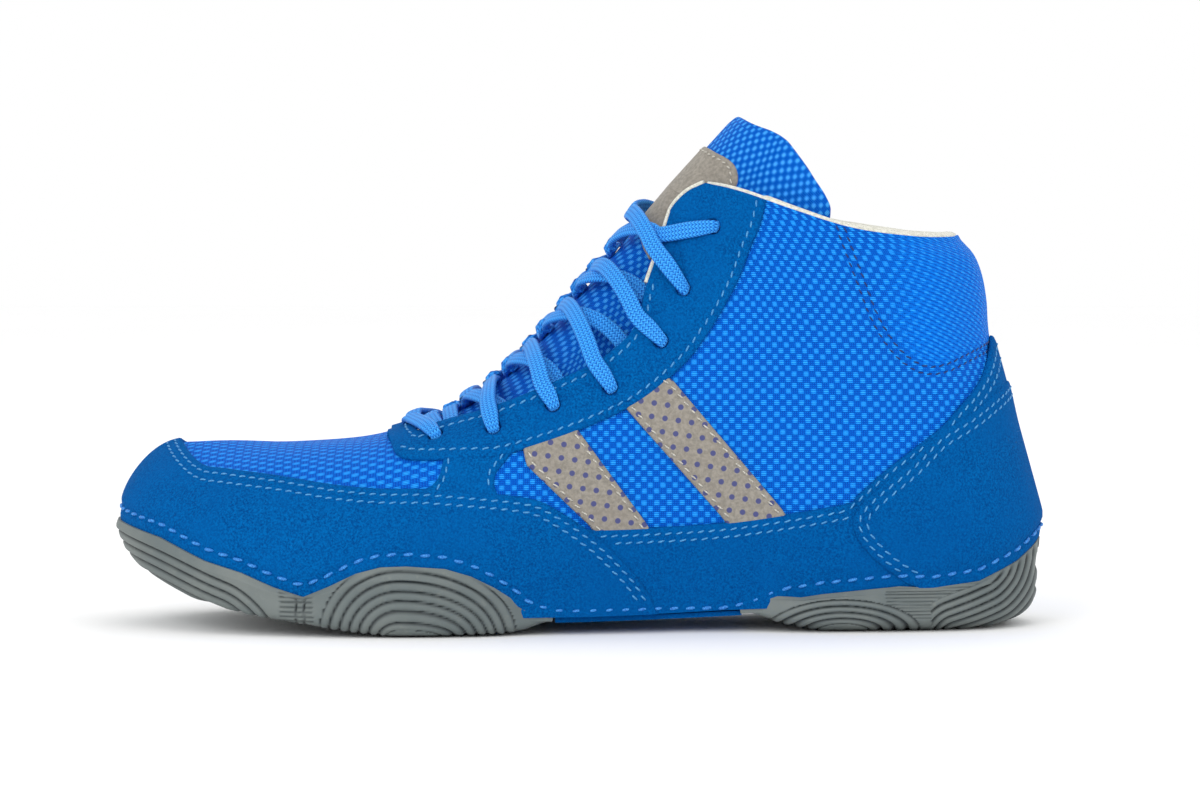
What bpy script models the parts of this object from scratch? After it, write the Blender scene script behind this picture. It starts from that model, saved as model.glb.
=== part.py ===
"""One ankle-high boxing boot, the left one of a pair, as separate pieces.

Lengths are in millimetres until a mesh is made. The toe points to -X, the heel to +X,
the outer (lateral) side of the foot is -Y and the ground is z = 0. The upper is one
surface: stations run round the foot from the middle of the heel to the middle of the
toe, and rows run from the feather line at the sole up to the collar or to the ridge
over the instep. Every layer of the upper is that surface moved in or out along its
normals, and its outline is cut by a prism that is drawn in the side view.
"""

import math

import bpy
import bmesh
import numpy as np
from mathutils import Matrix

MM = 0.001

LATERAL = -1
MEDIAL = 1
SIDES = {"lateral": LATERAL, "medial": MEDIAL}

# The middle of the finished boot's box in plan, which becomes the origin.
CENTRE = (-1.8, -1.89, 0.0)

# Stations and rows of the upper's surface.
SHAFT_STATIONS = 9
FOOT_STATIONS = 15
STATIONS = SHAFT_STATIONS + FOOT_STATIONS
ROWS = 7
TONGUE_ROWS = 2
HEEL_CROWDING = 1.15
TOE_CROWDING = 1.2

# Layers of the upper, as distances from its surface. Positive is outwards.
GAP = 0.3
SKIN_OUT = 1.5
STRIPE_OUT = 1.1
MESH_IN = -1.2
FOAM_OUT = MESH_IN - GAP
FOAM_THICKNESS = 1.8
COLLAR_PADDING = 4.5
LINING_THICKNESS = 1.0
RUBBER_OUT = 3.5
ARCH = (-9.0, 47.0)
EYESTAY_FADE = 4.0
THINNEST_FOAM = 0.2
MIDDLE_GAP = 0.25
EYELET_RADIUS = 2.4
LACE_RADIUS = 1.2
LACE_END_DEPTH = -7.0
LACE_OVER = 3.1
LACE_UNDER = -5.4
LACE_LIFTS = (0.9, 3.9)
LACE_CLEAR = 1.8
LACE_SLANT = np.array([1.5, 1.5])
AGLET_RADIUS = 1.5
AGLET_LENGTH = 18.0
TONGUE_RIDGE = 2.5
TONGUE_DROP = 7.5
TONGUE_HALF_WIDTH = 30.0
TONGUE_THICKNESS = 3.0

# Feather line from the heel to the front of the ankle, then on to the toe tip.
HEEL_TIP = (134.0, 0.0, 14.0)
TOE_TIP = (-136.5, 5.0, 25.0)
FEATHER = {
    LATERAL: {
        "shaft": [HEEL_TIP, (131, -12, 12.5), (122, -23, 10.5), (104, -30, 9), (78, -32.5, 8), (50, -33, 7.2)],
        "foot": [(50, -33, 7.2), (20, -36, 6), (-8, -41.5, 5.6), (-32, -46.5, 5.8), (-55, -49, 6.4),
                 (-78, -47, 7.6), (-99, -41, 10.2), (-116, -31.5, 15), (-128.5, -19, 20.5), (-135.2, -6, 24), TOE_TIP],
    },
    MEDIAL: {
        "shaft": [HEEL_TIP, (131, 12, 12.5), (122, 22, 10.5), (104, 28.5, 9), (78, 30.5, 8), (50, 29, 7.8)],
        "foot": [(50, 29, 7.8), (20, 29, 7.2), (-8, 32.5, 6.4), (-32, 38, 6.2), (-55, 43, 6.6),
                 (-78, 45.5, 7.6), (-99, 43.5, 10.2), (-116, 36.5, 15), (-128.5, 26, 20.5), (-135, 15.5, 24), TOE_TIP],
    },
}
COLLAR = [(111, 0, 119), (108, 12, 118.6), (98, 25, 119), (80, 33, 121.5), (62, 33.5, 127),
          (46, 28, 132.5), (33, 17, 135), (24.5, 0, 135)]
RIDGE = [(24.5, 0, 135), (11.5, 0, 119.5), (-3.5, 0, 101.5), (-14.5, 0, 88.5), (-26, 0, 76.5), (-38, 0, 67.5),
         (-50, 0.3, 61), (-63, 1, 56.8), (-85, 2, 55.2), (-105, 3, 55.6), (-120, 4, 55.2)]

# How the stations' curves bulge between the feather line and the top.
SIDE_BULGE = 3.2
TOE_BULGE = 6.0
HEEL_BULGE = 10.0
HEEL_BULGE_FADE = 0.62
BULGE_ROW = 0.22
HEEL_REACH = 0.16
RIDGE_BLEND = 0.14
LEVEL_RIDGE = (0.62, 0.2)

# Side-view outlines, as (x, z). The eyestay's two edges:
THROAT_EDGE = [(-50, 59.6), (-44, 62.3), (-25.5, 68.2), (-2, 78.5), (7, 83.8), (14.9, 91.6), (18, 102.5),
               (22.5, 115), (24.6, 123), (27.5, 132), (33, 142)]
EYESTAY_EDGE = [(-58.5, 56.5), (-56, 53), (-50, 51.9), (-34, 52.8), (-25, 53.6), (-10.7, 57.9), (0, 61.8), (11, 66.6),
                (18.3, 70.9), (25.5, 76.7), (32.7, 84), (40, 94.8), (46.1, 105.9), (49.5, 115), (53, 124), (56.5, 142)]
EYELETS = [(-44.5, 58.6), (-27.2, 61.4), (-9.7, 68.4), (7.4, 73.6), (22.7, 87.4), (29.6, 103), (38.7, 121.6)]
# The suede panels' edges:
MUDGUARD_TOP = [(-127, 60), (-123.4, 54.6), (-116, 49), (-108, 48), (-91.6, 46.5), (-76, 44.5), (-60.8, 43.6),
                (-47, 43.8)]
MUDGUARD_REAR = [(-20, 41.7), (-13.2, 40.1), (-5.1, 35.5), (0.5, 31.5), (5.3, 27.7), (11.8, 21.2), (16.5, 15.7),
                 (21.3, 7.3), (23, 2)]
MIDFOOT_TOP = [(0, 31.6), (18, 31.9), (40.4, 33.1), (58.9, 35.5), (78.9, 39)]
HEEL_TOP = [(78.9, 39), (89.3, 48.3), (98, 55), (107, 61.6), (112, 67), (116.5, 71.5), (120.5, 77.5), (123.2, 86),
            (124.5, 93), (131, 97)]
COUNTER_TOP = [(105, 60), (116, 65), (124.5, 70), (130.6, 75), (142, 82)]
COUNTER_FRONT = [(106, -5), (100.3, 12), (96.3, 15), (90, 19.3), (83.7, 24.9), (80, 29.9), (79, 34.9), (78.9, 39)]
# The scalloped line where the suede meets the rubber:
SUEDE_FOOT = [(-147, 34), (-141, 32.2), (-126.8, 28.6), (-113, 22.4), (-101.8, 19.2), (-92.5, 15.2), (-83.5, 12.4),
              (-75.6, 15.8), (-68, 19.6), (-60.5, 21.6), (-53, 21.9), (-41.8, 21.1), (-34.1, 18.7), (-27.3, 15.2),
              (-21, 11), (-16, 6.5)]
SUEDE_HEEL = [(50, 6.5), (58, 9.9), (70.8, 12), (94, 14.4), (104, 13.9), (117.8, 15.5), (129.3, 20.9), (136.5, 26.3),
              (147, 33)]
COLLAR_SEAM = [(75.9, 128), (75.9, 121.8), (78.7, 113.9), (82.2, 104.8), (86.2, 94.5), (92, 85.3), (98.3, 79.8),
               (104, 78), (110, 79), (116, 81.5), (132, 88)]
STRIPES = {
    "front": [(-16.2, 54.5), (-1.4, 59.6), (18.3, 33.2), (1.2, 32.8)],
    "rear": [(12.4, 66.8), (23.4, 74.2), (59.3, 36.8), (41.4, 34.3)],
}
STRAP_FRONT = -42.8
STRAP_REAR = -28.0
VAMP_SEAM = -36.0
TONGUE_TOP_EDGE = [(40, 158), (47.8, 156.1), (52, 155), (58.5, 151), (63.5, 145.5), (69.5, 138.5), (73, 132.5),
                   (74, 126), (72, 112)]
TONGUE_SIDE_EDGE = [(72, 112), (60, 96), (45, 78), (20, 60), (-15, 47), (-45, 43), (-57, 46)]
HINGE = (26.4, 133.4)
FOLD_SLOPE = (0.76, -0.65)
# Where each loose end of the lace lies inside the boot, against the lining:
LACE_END = [(41, 116), (47, 104), (54, 88), (60, 70), (64, 50), (64, 32), (60, 20), (48, 16.5), (34, 16), (20, 16)]

# Undersides of the two rubber pods, as (x, z) along the middle.
FRONT_TREAD = [(-142, 27.5), (-138, 20.9), (-131, 15.5), (-116, 9), (-100, 5.4), (-85, 3), (-70, 1), (-60, 0),
               (-25, 0), (-18, 1.2), (-12, 3.4)]
HEEL_TREAD = [(50, 5.2), (58, 2.4), (66, 0.7), (72, 0), (118, 0), (128, 0.8), (134.5, 3), (139.4, 7.6), (143, 14)]

COLOURS = {
    "suede": ((0.004, 0.11, 0.35), 0.9),
    "mesh": ((0.01, 0.17, 0.68), 0.6),
    "foam": ((0.55, 0.55, 0.52), 0.9),
    "lining": ((0.78, 0.75, 0.66), 0.95),
    "rubber": ((0.14, 0.16, 0.16), 0.7),
    "stripe": ((0.31, 0.28, 0.24), 0.8),
    "lace": ((0.02, 0.27, 0.78), 0.7),
    "board": ((0.6, 0.55, 0.45), 0.9),
    "plastic": ((0.05, 0.2, 0.5), 0.3),
}


def line_below(outline, x):
    return np.interp(x, *zip(*outline))


def smoothstep(value):
    value = min(max(value, 0.0), 1.0)
    return value * value * (3 - 2 * value)


def catmull_rom(points, steps=8):
    """A smooth run through the points, with this many steps between each two."""
    points = [np.array(point, float) for point in points]
    points = [2 * points[0] - points[1], *points, 2 * points[-1] - points[-2]]
    run = []
    for a, b, c, d in zip(points, points[1:], points[2:], points[3:]):
        for step in range(steps):
            t = step / steps
            run.append(0.5 * (2 * b + (c - a) * t + (2 * a - 5 * b + 4 * c - d) * t**2
                              + (3 * b - a - 3 * c + d) * t**3))
    run.append(points[-2])
    return np.array(run)


class Run:
    """A curve that is read by the fraction of its length."""

    def __init__(self, points, steps=8):
        self.points = catmull_rom(points, steps)
        lengths = np.linalg.norm(np.diff(self.points, axis=0), axis=1)
        self.length = lengths.sum()
        self.fractions = np.concatenate([[0], np.cumsum(lengths)]) / self.length

    def at(self, fraction):
        return np.array([np.interp(fraction, self.fractions, axis) for axis in self.points.T])


def feather_runs(side):
    """The shaft's and the foot's stretch of the feather line, smooth where they meet."""
    shaft = FEATHER[side]["shaft"]
    foot = FEATHER[side]["foot"]
    steps = 8
    whole = catmull_rom([*shaft, *foot[1:]], steps)
    split = (len(shaft) - 1) * steps
    runs = []
    for part in (whole[: split + 1], whole[split:]):
        run = Run([part[0], part[-1]])
        run.points = part
        lengths = np.linalg.norm(np.diff(part, axis=0), axis=1)
        run.length = lengths.sum()
        run.fractions = np.concatenate([[0], np.cumsum(lengths)]) / run.length
        runs.append(run)
    return runs


FEATHER_RUNS = {side: feather_runs(side) for side in SIDES.values()}
COLLAR_RUN = Run(COLLAR)
RIDGE_RUN = Run(RIDGE)


def station_ends(side, station):
    """(feather point, top point, outward direction in plan) of a station."""
    if station <= SHAFT_STATIONS:
        run = FEATHER_RUNS[side][0]
        fraction = (station / SHAFT_STATIONS) ** HEEL_CROWDING
        top = COLLAR_RUN.at(fraction) * (1, side, 1)
    else:
        run = FEATHER_RUNS[side][1]
        fraction = 1 - (1 - (station - SHAFT_STATIONS) / FOOT_STATIONS) ** TOE_CROWDING
        top = RIDGE_RUN.at(fraction)
    foot = run.at(fraction)
    along = run.at(min(fraction + 0.01, 1)) - run.at(max(fraction - 0.01, 0))
    outward = np.array([-side * along[1], side * along[0], 0]) * -1
    if station == 0:
        outward = np.array([1.0, 0, 0])
    if station == STATIONS:
        outward = np.array([-1.0, 0, 0])
    return foot, top, outward / np.linalg.norm(outward)


def surface_point(side, station, row):
    """A point of the upper's outer face. A row past ROWS is on the tongue, above the collar."""
    station = min(max(station, 0.0), float(STATIONS))
    foot, top, outward = station_ends(side, station)
    share = station / STATIONS
    front = SHAFT_STATIONS / STATIONS
    ridge = smoothstep((share - front + RIDGE_BLEND) / RIDGE_BLEND)
    toe = smoothstep((share - 0.7) / 0.3)
    heel = smoothstep(1 - share / HEEL_REACH)
    height = min(max(row / ROWS, 0.0), 1.0)
    angle = height * math.pi / 2
    rise = (1 - ridge) * height + ridge * math.sin(angle) ** (0.78 + 0.12 * toe)
    run = (1 - ridge) * height + ridge * (1 - math.cos(angle) ** (0.7 + 0.1 * toe))
    level = smoothstep((share - LEVEL_RIDGE[0]) / LEVEL_RIDGE[1])
    forward = rise * (1 - level) + run * level
    point = foot + (top - foot) * np.array([forward, run, rise])
    lobe = height / BULGE_ROW * math.exp(1 - height / BULGE_ROW)
    bulge = (SIDE_BULGE + (TOE_BULGE - SIDE_BULGE) * toe) * lobe
    heel_bulge = HEEL_BULGE * smoothstep(height / 0.2) * (1 - HEEL_BULGE_FADE * height)
    point = point + outward * (bulge * (1 - heel) + heel_bulge * heel)
    if row > ROWS:
        reach = (row - ROWS) / TONGUE_ROWS
        back = smoothstep((SHAFT_STATIONS - station) / 6)
        point = point + reach * np.array([20 - 10 * back, 0, 22 + 5 * back])
    return point


class Surface:
    """The upper's faceted surface, both sides joined along the middle."""

    def __init__(self):
        self.index = {}
        self.quads = {}
        points = []
        for side in SIDES.values():
            for station in range(STATIONS + 1):
                for row in range(self.rows(station) + 1):
                    key = self.key(side, station, row)
                    if key not in self.index:
                        self.index[key] = len(points)
                        point = surface_point(side, station, row)
                        if key[0] == 0 and station not in (0, STATIONS) and station <= SHAFT_STATIONS:
                            point[1] = 0
                        points.append(point)
        self.points = np.array(points)
        for side in SIDES.values():
            for station in range(STATIONS):
                for row in range(min(self.rows(station), self.rows(station + 1))):
                    corners = [(station, row), (station + 1, row), (station + 1, row + 1), (station, row + 1)]
                    face = [self.index[self.key(side, *corner)] for corner in corners]
                    self.quads[side, station, row] = face[::-1] if side == LATERAL else face
        normals = np.zeros_like(self.points)
        for face in self.quads.values():
            a, b, c, d = self.points[face]
            for corner in face:
                normals[corner] += np.cross(c - a, d - b)
        self.normals = normals / np.linalg.norm(normals, axis=1)[:, None]

    def rows(self, station):
        return ROWS + (TONGUE_ROWS if 2 <= station <= SHAFT_STATIONS else 0)

    def key(self, side, station, row):
        middle = (station in (0, STATIONS) or (row == ROWS and station >= SHAFT_STATIONS)
                  or (row > ROWS and station == SHAFT_STATIONS))
        return 0 if middle else side, station, row


SURFACE = Surface()


def padding(point):
    """The filler's thickness between the mesh and the lining: none behind the eyestay, most at the collar."""
    x, _, z = point
    collar = smoothstep((x - 74) / 14) * smoothstep((z - 76) / 22)
    throat = 0.0
    if THROAT_EDGE[0][0] - 2 < x < EYESTAY_EDGE[-1][0]:
        past_edge = z - np.interp(x, *zip(*EYESTAY_EDGE))
        throat = smoothstep(past_edge / EYESTAY_FADE)
    return FOAM_THICKNESS * (1 - throat) + COLLAR_PADDING * collar


def lining_out(point):
    return FOAM_OUT - GAP - padding(point)


def lining_in(point):
    return lining_out(point) - LINING_THICKNESS


def foam_in(point):
    return FOAM_OUT - max(padding(point), THINNEST_FOAM)


def tongue_out(point):
    """The tongue's outer face: highest between the eyestays, and lower under them to leave the lace room."""
    return -(TONGUE_RIDGE + TONGUE_DROP * smoothstep(abs(point[1]) / TONGUE_HALF_WIDTH))


def material(kind):
    colour, roughness = COLOURS[kind]
    made = bpy.data.materials.get(kind) or bpy.data.materials.new(kind)
    made.use_nodes = True
    shader = made.node_tree.nodes["Principled BSDF"]
    shader.inputs["Base Color"].default_value = (*colour, 1)
    shader.inputs["Roughness"].default_value = roughness
    return made


def placed(point):
    """A point in metres, with the boot's length and width centred on the origin."""
    return tuple(float(value) * MM for value in np.array(point) - CENTRE)


def new_object(name, points, faces, kind=None):
    mesh = bpy.data.meshes.new(name)
    mesh.from_pydata([placed(point) for point in points], [], faces)
    shape = bmesh.new()
    shape.from_mesh(mesh)
    bmesh.ops.triangulate(shape, faces=shape.faces[:])
    bmesh.ops.recalc_face_normals(shape, faces=shape.faces[:])
    shape.to_mesh(mesh)
    shape.free()
    made = bpy.data.objects.new(name, mesh)
    bpy.context.scene.collection.objects.link(made)
    if kind:
        made.data.materials.append(material(kind))
        made.data.shade_smooth()
        made.data.set_sharp_from_angle(angle=math.radians(40))
    else:
        made.hide_render = True
        made.display_type = "WIRE"
    return made


def closed_shell(faces, outer, inner):
    """(points, triangles) of the solid between two skins that share these faces."""
    used = sorted({corner for face in faces for corner in face})
    place = {corner: number for number, corner in enumerate(used)}
    count = len(used)
    points = [outer[corner] for corner in used] + [inner[corner] for corner in used]
    triangles = []
    edges = set()
    for face in faces:
        ring = [place[corner] for corner in face]
        ring = [corner for number, corner in enumerate(ring) if corner != ring[number - 1]]
        for b, c in zip(ring[1:], ring[2:]):
            triangles.append((ring[0], b, c))
            triangles.append((count + ring[0], count + c, count + b))
        for a, b in zip(ring, ring[1:] + ring[:1]):
            if (b, a) in edges:
                edges.remove((b, a))
            else:
                edges.add((a, b))
    for a, b in sorted(edges):
        triangles.append((a, count + a, count + b))
        triangles.append((a, count + b, b))
    return points, triangles


def over_throat(face):
    """Whether a face lies wholly in the gap between the eyestays."""
    return all(THROAT_EDGE[0][0] < x < THROAT_EDGE[-1][0] and z > line_below(THROAT_EDGE, x) + 3
               for x, _, z in SURFACE.points[face])


def layer(name, kind, outer, inner, sides, stations, rows=(0, ROWS), closed_throat=False):
    """A layer of the upper between two offsets, each a number or a function of the point."""
    faces = [face for (side, station, row), face in SURFACE.quads.items()
             if side in sides and stations[0] <= station < stations[1] and rows[0] <= row < rows[1]
             and (closed_throat or not over_throat(face))]
    skins = []
    for offset in (outer, inner):
        away = [offset(point) if callable(offset) else offset for point in SURFACE.points]
        skins.append(SURFACE.points + SURFACE.normals * np.array(away)[:, None])
    return new_object(name, *closed_shell(faces, *skins), kind)


def prism(name, outline, low_y=-90.0, high_y=90.0):
    """A cutter: a side-view outline, drawn through the boot from low_y to high_y."""
    area = sum(a[0] * b[1] - b[0] * a[1] for a, b in zip(outline, outline[1:] + outline[:1]))
    outline = outline if area > 0 else outline[::-1]
    count = len(outline)
    points = [(x, low_y, z) for x, z in outline] + [(x, high_y, z) for x, z in outline]
    faces = [tuple(range(count)), tuple(range(2 * count - 1, count - 1, -1))]
    faces += [(b, a, a + count, b + count) for a, b in zip(range(count), [*range(1, count), 0])]
    return new_object(name, points, faces)


def cut(target, operation, *cutters):
    for cutter in cutters:
        modifier = target.modifiers.new(f"{operation.lower()} {cutter.name}", "BOOLEAN")
        modifier.operation = operation
        modifier.solver = "EXACT"
        modifier.object = cutter


def shifted(outline, dx, dz):
    return [(x + dx, z + dz) for x, z in outline]


def on_facets(side, station, row, offset):
    """A point off the faceted surface, on one of its stations."""
    first = int(row)
    skin = [SURFACE.points[at] + SURFACE.normals[at] * offset
            for at in (SURFACE.index[SURFACE.key(side, station, first + step)] for step in (0, 1))]
    return skin[0] + (skin[1] - skin[0]) * (row - first)


def place_on_surface(side, x, z):
    """(station, row) of the place of the upper that the side view shows at (x, z)."""
    station, row = STATIONS / 2, ROWS / 2
    reach_station, reach_row = STATIONS / 2, ROWS / 2
    steps = 12
    while reach_station > 0.01:
        best = None
        for i in range(-steps, steps + 1):
            for j in range(-steps, steps + 1):
                s = min(max(station + reach_station * i / steps, 0), STATIONS)
                r = min(max(row + reach_row * j / steps, 0), ROWS)
                point = surface_point(side, s, r)
                miss = math.hypot(point[0] - x, point[2] - z)
                if best is None or miss < best[0]:
                    best = (miss, s, r)
        _, station, row = best
        reach_station /= 4
        reach_row /= 4
    return station, row


def frame_at(side, station, row):
    """(point, outward normal) of the smooth surface."""
    point = surface_point(side, station, row)
    if row > ROWS - 0.05 and station >= SHAFT_STATIONS:
        along = surface_point(side, station + 0.2, ROWS) - surface_point(side, station, ROWS)
        normal = np.cross(along, (0, 1, 0))
    else:
        row = min(row, ROWS - 0.2)
        along = surface_point(side, station + 0.2, row) - surface_point(side, station - 0.2, row)
        up = surface_point(side, station, row + 0.1) - surface_point(side, station, row - 0.1)
        normal = np.cross(along, up) * side
    return point, normal / np.linalg.norm(normal)


def at_offset(side, station, row, offset):
    point, normal = frame_at(side, station, row)
    return point + normal * offset


def tube(name, kind, route, radius, steps=4, most_turn=24.0, longest=8.0):
    """A round cord along a smooth curve through the route, with points only where it bends."""
    dense = catmull_rom(route, steps)
    kept = [dense[0]]
    last = dense[1] - dense[0]
    for before, here, after in zip(dense, dense[1:], dense[2:]):
        turn = last @ (after - here) / (np.linalg.norm(last) * np.linalg.norm(after - here))
        if turn < math.cos(math.radians(most_turn)) or np.linalg.norm(after - kept[-1]) > longest:
            kept.append(here)
            last = after - here
    kept.append(dense[-1])
    curve = bpy.data.curves.new(name, "CURVE")
    curve.dimensions = "3D"
    curve.bevel_depth = radius * MM
    curve.bevel_resolution = 2
    curve.use_fill_caps = True
    spline = curve.splines.new("POLY")
    spline.points.add(len(kept) - 1)
    for vertex, point in zip(spline.points, kept):
        vertex.co = (*placed(point), 1)
    made = bpy.data.objects.new(name, curve)
    bpy.context.scene.collection.objects.link(made)
    curve.materials.append(material(kind))
    return made


def region(name, outline, side=None):
    """A prism through both sides, or through one side up to just short of the middle."""
    if side is None:
        return prism(name, outline)
    near, far = sorted((side * MIDDLE_GAP, side * 90.0))
    return prism(name, outline, near, far)


def build_panels():
    """Every layer of the upper, from the suede in to the lining."""
    throat = prism("throat_cutter", [*THROAT_EDGE, (33, 175), (-53, 175), (-53, 60)])
    wide_throat = prism("wide_throat_cutter", [*shifted(THROAT_EDGE, 1.5, -1.0), (35, 175), (-54, 175), (-54, 59)])
    eyestay_zone = prism("eyestay_zone_cutter", [*EYESTAY_EDGE[:4], (-30, 55), (-30, 100), (-60, 100)])
    toe_stations = (SHAFT_STATIONS, STATIONS)
    everywhere = (0, STATIONS)
    both = tuple(SIDES.values())
    holes = {word: eyelet_cutter(f"eyelets_{word}_cutter", side) for word, side in SIDES.items()}

    mudguard = layer("toe_mudguard", "suede", SKIN_OUT, GAP, both, (SHAFT_STATIONS + 1, STATIONS))
    cut(mudguard, "INTERSECT", region("mudguard_region", [
        *MUDGUARD_TOP, (-28, 42.6), *MUDGUARD_REAR, (24, -5), (-150, -5), (-150, 60)]))

    counter = layer("heel_counter_cover", "suede", SKIN_OUT, GAP, both, (0, 7))
    cut(counter, "INTERSECT", region("counter_region", [
        *COUNTER_FRONT, (89.3, 48.3), (98, 55), *COUNTER_TOP, (150, 60), (150, -5)]))

    strap = layer("back_strap", "suede", SKIN_OUT, GAP, both, (0, 6))
    cut(strap, "INTERSECT", region("back_strap_region", [
        *shifted(COUNTER_TOP[:4], -0.2, 0.4), (142, 84), (142, 98), *reversed(HEEL_TOP[3:])]))

    vamp = layer("vamp_mesh", "mesh", 0, MESH_IN, both, toe_stations)
    vamp_region = region("vamp_region", [(-150, 0), (VAMP_SEAM, 0), (VAMP_SEAM, 90), (-150, 90)])
    cut(vamp, "INTERSECT", vamp_region)
    cut(vamp, "DIFFERENCE", throat, *holes.values())
    vamp_lining = layer("vamp_lining", "lining", lining_out, lining_in, both, toe_stations)
    cut(vamp_lining, "INTERSECT", vamp_region)
    cut(vamp_lining, "DIFFERENCE", eyestay_zone)
    toe_puff = layer("toe_puff", "board", FOAM_OUT, foam_in, both, toe_stations)
    cut(toe_puff, "INTERSECT", region("toe_puff_region", [(-150, 0), (-100.2, 0), (-100.2, 90), (-150, 90)]))
    interlining = layer("vamp_interlining", "foam", FOAM_OUT, foam_in, both, toe_stations)
    cut(interlining, "INTERSECT", region("interlining_region", [
        (-99.8, 0), (VAMP_SEAM, 0), (VAMP_SEAM, 90), (-99.8, 90)]))
    cut(interlining, "DIFFERENCE", eyestay_zone)

    heel_counter = layer("heel_counter", "board", FOAM_OUT, foam_in, both, (0, 7))
    cut(heel_counter, "INTERSECT", region("heel_counter_region", [
        (88.2, 0), (150, 0), (150, 71), (118, 71), (96, 66), (88.2, 40)]))
    collar_foam = layer("collar_foam", "foam", FOAM_OUT, foam_in, both, (0, 7))
    cut(collar_foam, "INTERSECT", region("collar_region", [*COLLAR_SEAM, (150, 90), (150, 140), (75.9, 140)]))

    for word, side in SIDES.items():
        half = region(f"quarter_{word}_region", [
            (VAMP_SEAM + GAP, 0), (150, 0), (150, 150), (VAMP_SEAM + GAP, 150)], side)
        mesh = layer(f"quarter_mesh_{word}", "mesh", 0, MESH_IN, (side,), everywhere)
        lining = layer(f"quarter_lining_{word}", "lining", lining_out, lining_in, (side,), everywhere)
        for piece, gap in ((mesh, throat), (lining, wide_throat)):
            cut(piece, "INTERSECT", half)
            cut(piece, "DIFFERENCE", gap, holes[word])
        foam = layer(f"quarter_foam_{word}", "foam", FOAM_OUT, foam_in, (side,), everywhere)
        cut(foam, "INTERSECT", region(f"foam_{word}_region", [
            (VAMP_SEAM + GAP, 0), (87.8, 0), (87.8, 40), (95.7, 66.4), (118, 71.4), (150, 71.4), (150, 89),
            *reversed(shifted(COLLAR_SEAM, -0.4, -0.4)), (75.5, 140), (57, 140),
            *reversed(shifted(EYESTAY_EDGE[3:-1], 0.5, -0.5)), (VAMP_SEAM + GAP, 52)], side))
        eyestay = layer(f"eyestay_{word}", "suede", SKIN_OUT, GAP, (side,), everywhere)
        cut(eyestay, "INTERSECT", region(f"eyestay_{word}_region", [*EYESTAY_EDGE, (-40, 160)], side))
        cut(eyestay, "DIFFERENCE", throat, holes[word])
        saddle = layer(f"saddle_strap_{word}", "suede", SKIN_OUT, GAP, (side,), (SHAFT_STATIONS + 2, STATIONS - 4))
        cut(saddle, "INTERSECT", region(f"saddle_{word}_region", [
            (STRAP_FRONT, 44.4), (STRAP_REAR, 43.1), (-27.3, 48.5), (-25, 51.6), (-22, 53.6), (-25, 53.1),
            (-34, 52.3), (STRAP_FRONT, 51.8)], side))
        midfoot = layer(f"midfoot_panel_{word}", "suede", SKIN_OUT, GAP, (side,), (2, SHAFT_STATIONS + 7))
        cut(midfoot, "INTERSECT", region(f"midfoot_{word}_region", [
            (25, -5), *shifted(COUNTER_FRONT, -0.4, 0), *reversed(MIDFOOT_TOP[1:-1]),
            *shifted(MUDGUARD_REAR[3:], 0.6, 0)], side))
        for place, corners in STRIPES.items():
            stripe = layer(f"stripe_{place}_{word}", "stripe", STRIPE_OUT, GAP, (side,),
                           (5, SHAFT_STATIONS + 9))
            cut(stripe, "INTERSECT", region(f"stripe_{place}_{word}_region", corners, side))


EYELET_PLACES = {side: [place_on_surface(side, *eyelet) for eyelet in EYELETS] for side in SIDES.values()}


def eyelet_cutter(name, side):
    """Seven round pegs, each along the surface's normal at its eyelet."""
    corners = 8
    points = []
    faces = []
    for station, row in EYELET_PLACES[side]:
        centre, normal = frame_at(side, station, row)
        across = np.cross(normal, (0, 0, 1))
        across /= np.linalg.norm(across)
        up = np.cross(normal, across)
        first = len(points)
        for reach in (-8, 5):
            for corner in range(corners):
                angle = 2 * math.pi * corner / corners
                points.append(centre + normal * reach
                              + EYELET_RADIUS * (math.cos(angle) * across + math.sin(angle) * up))
        ring = range(first, first + corners)
        faces += [tuple(ring), tuple(corner + corners for corner in reversed(ring))]
        faces += [(b, a, a + corners, b + corners) for a, b in zip(ring, [*ring[1:], ring[0]])]
    return new_object(name, points, faces)


def hang_on_hinge(*names):
    """Gives the pieces that fold one parent, an empty on the hinge's axis."""
    hinge = bpy.data.objects.new("tongue_hinge", None)
    hinge.location = placed((HINGE[0], CENTRE[1], HINGE[1]))
    bpy.context.scene.collection.objects.link(hinge)
    for name in names:
        piece = bpy.data.objects[name]
        piece.parent = hinge
        piece.matrix_parent_inverse = Matrix.Translation(hinge.location).inverted()


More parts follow.
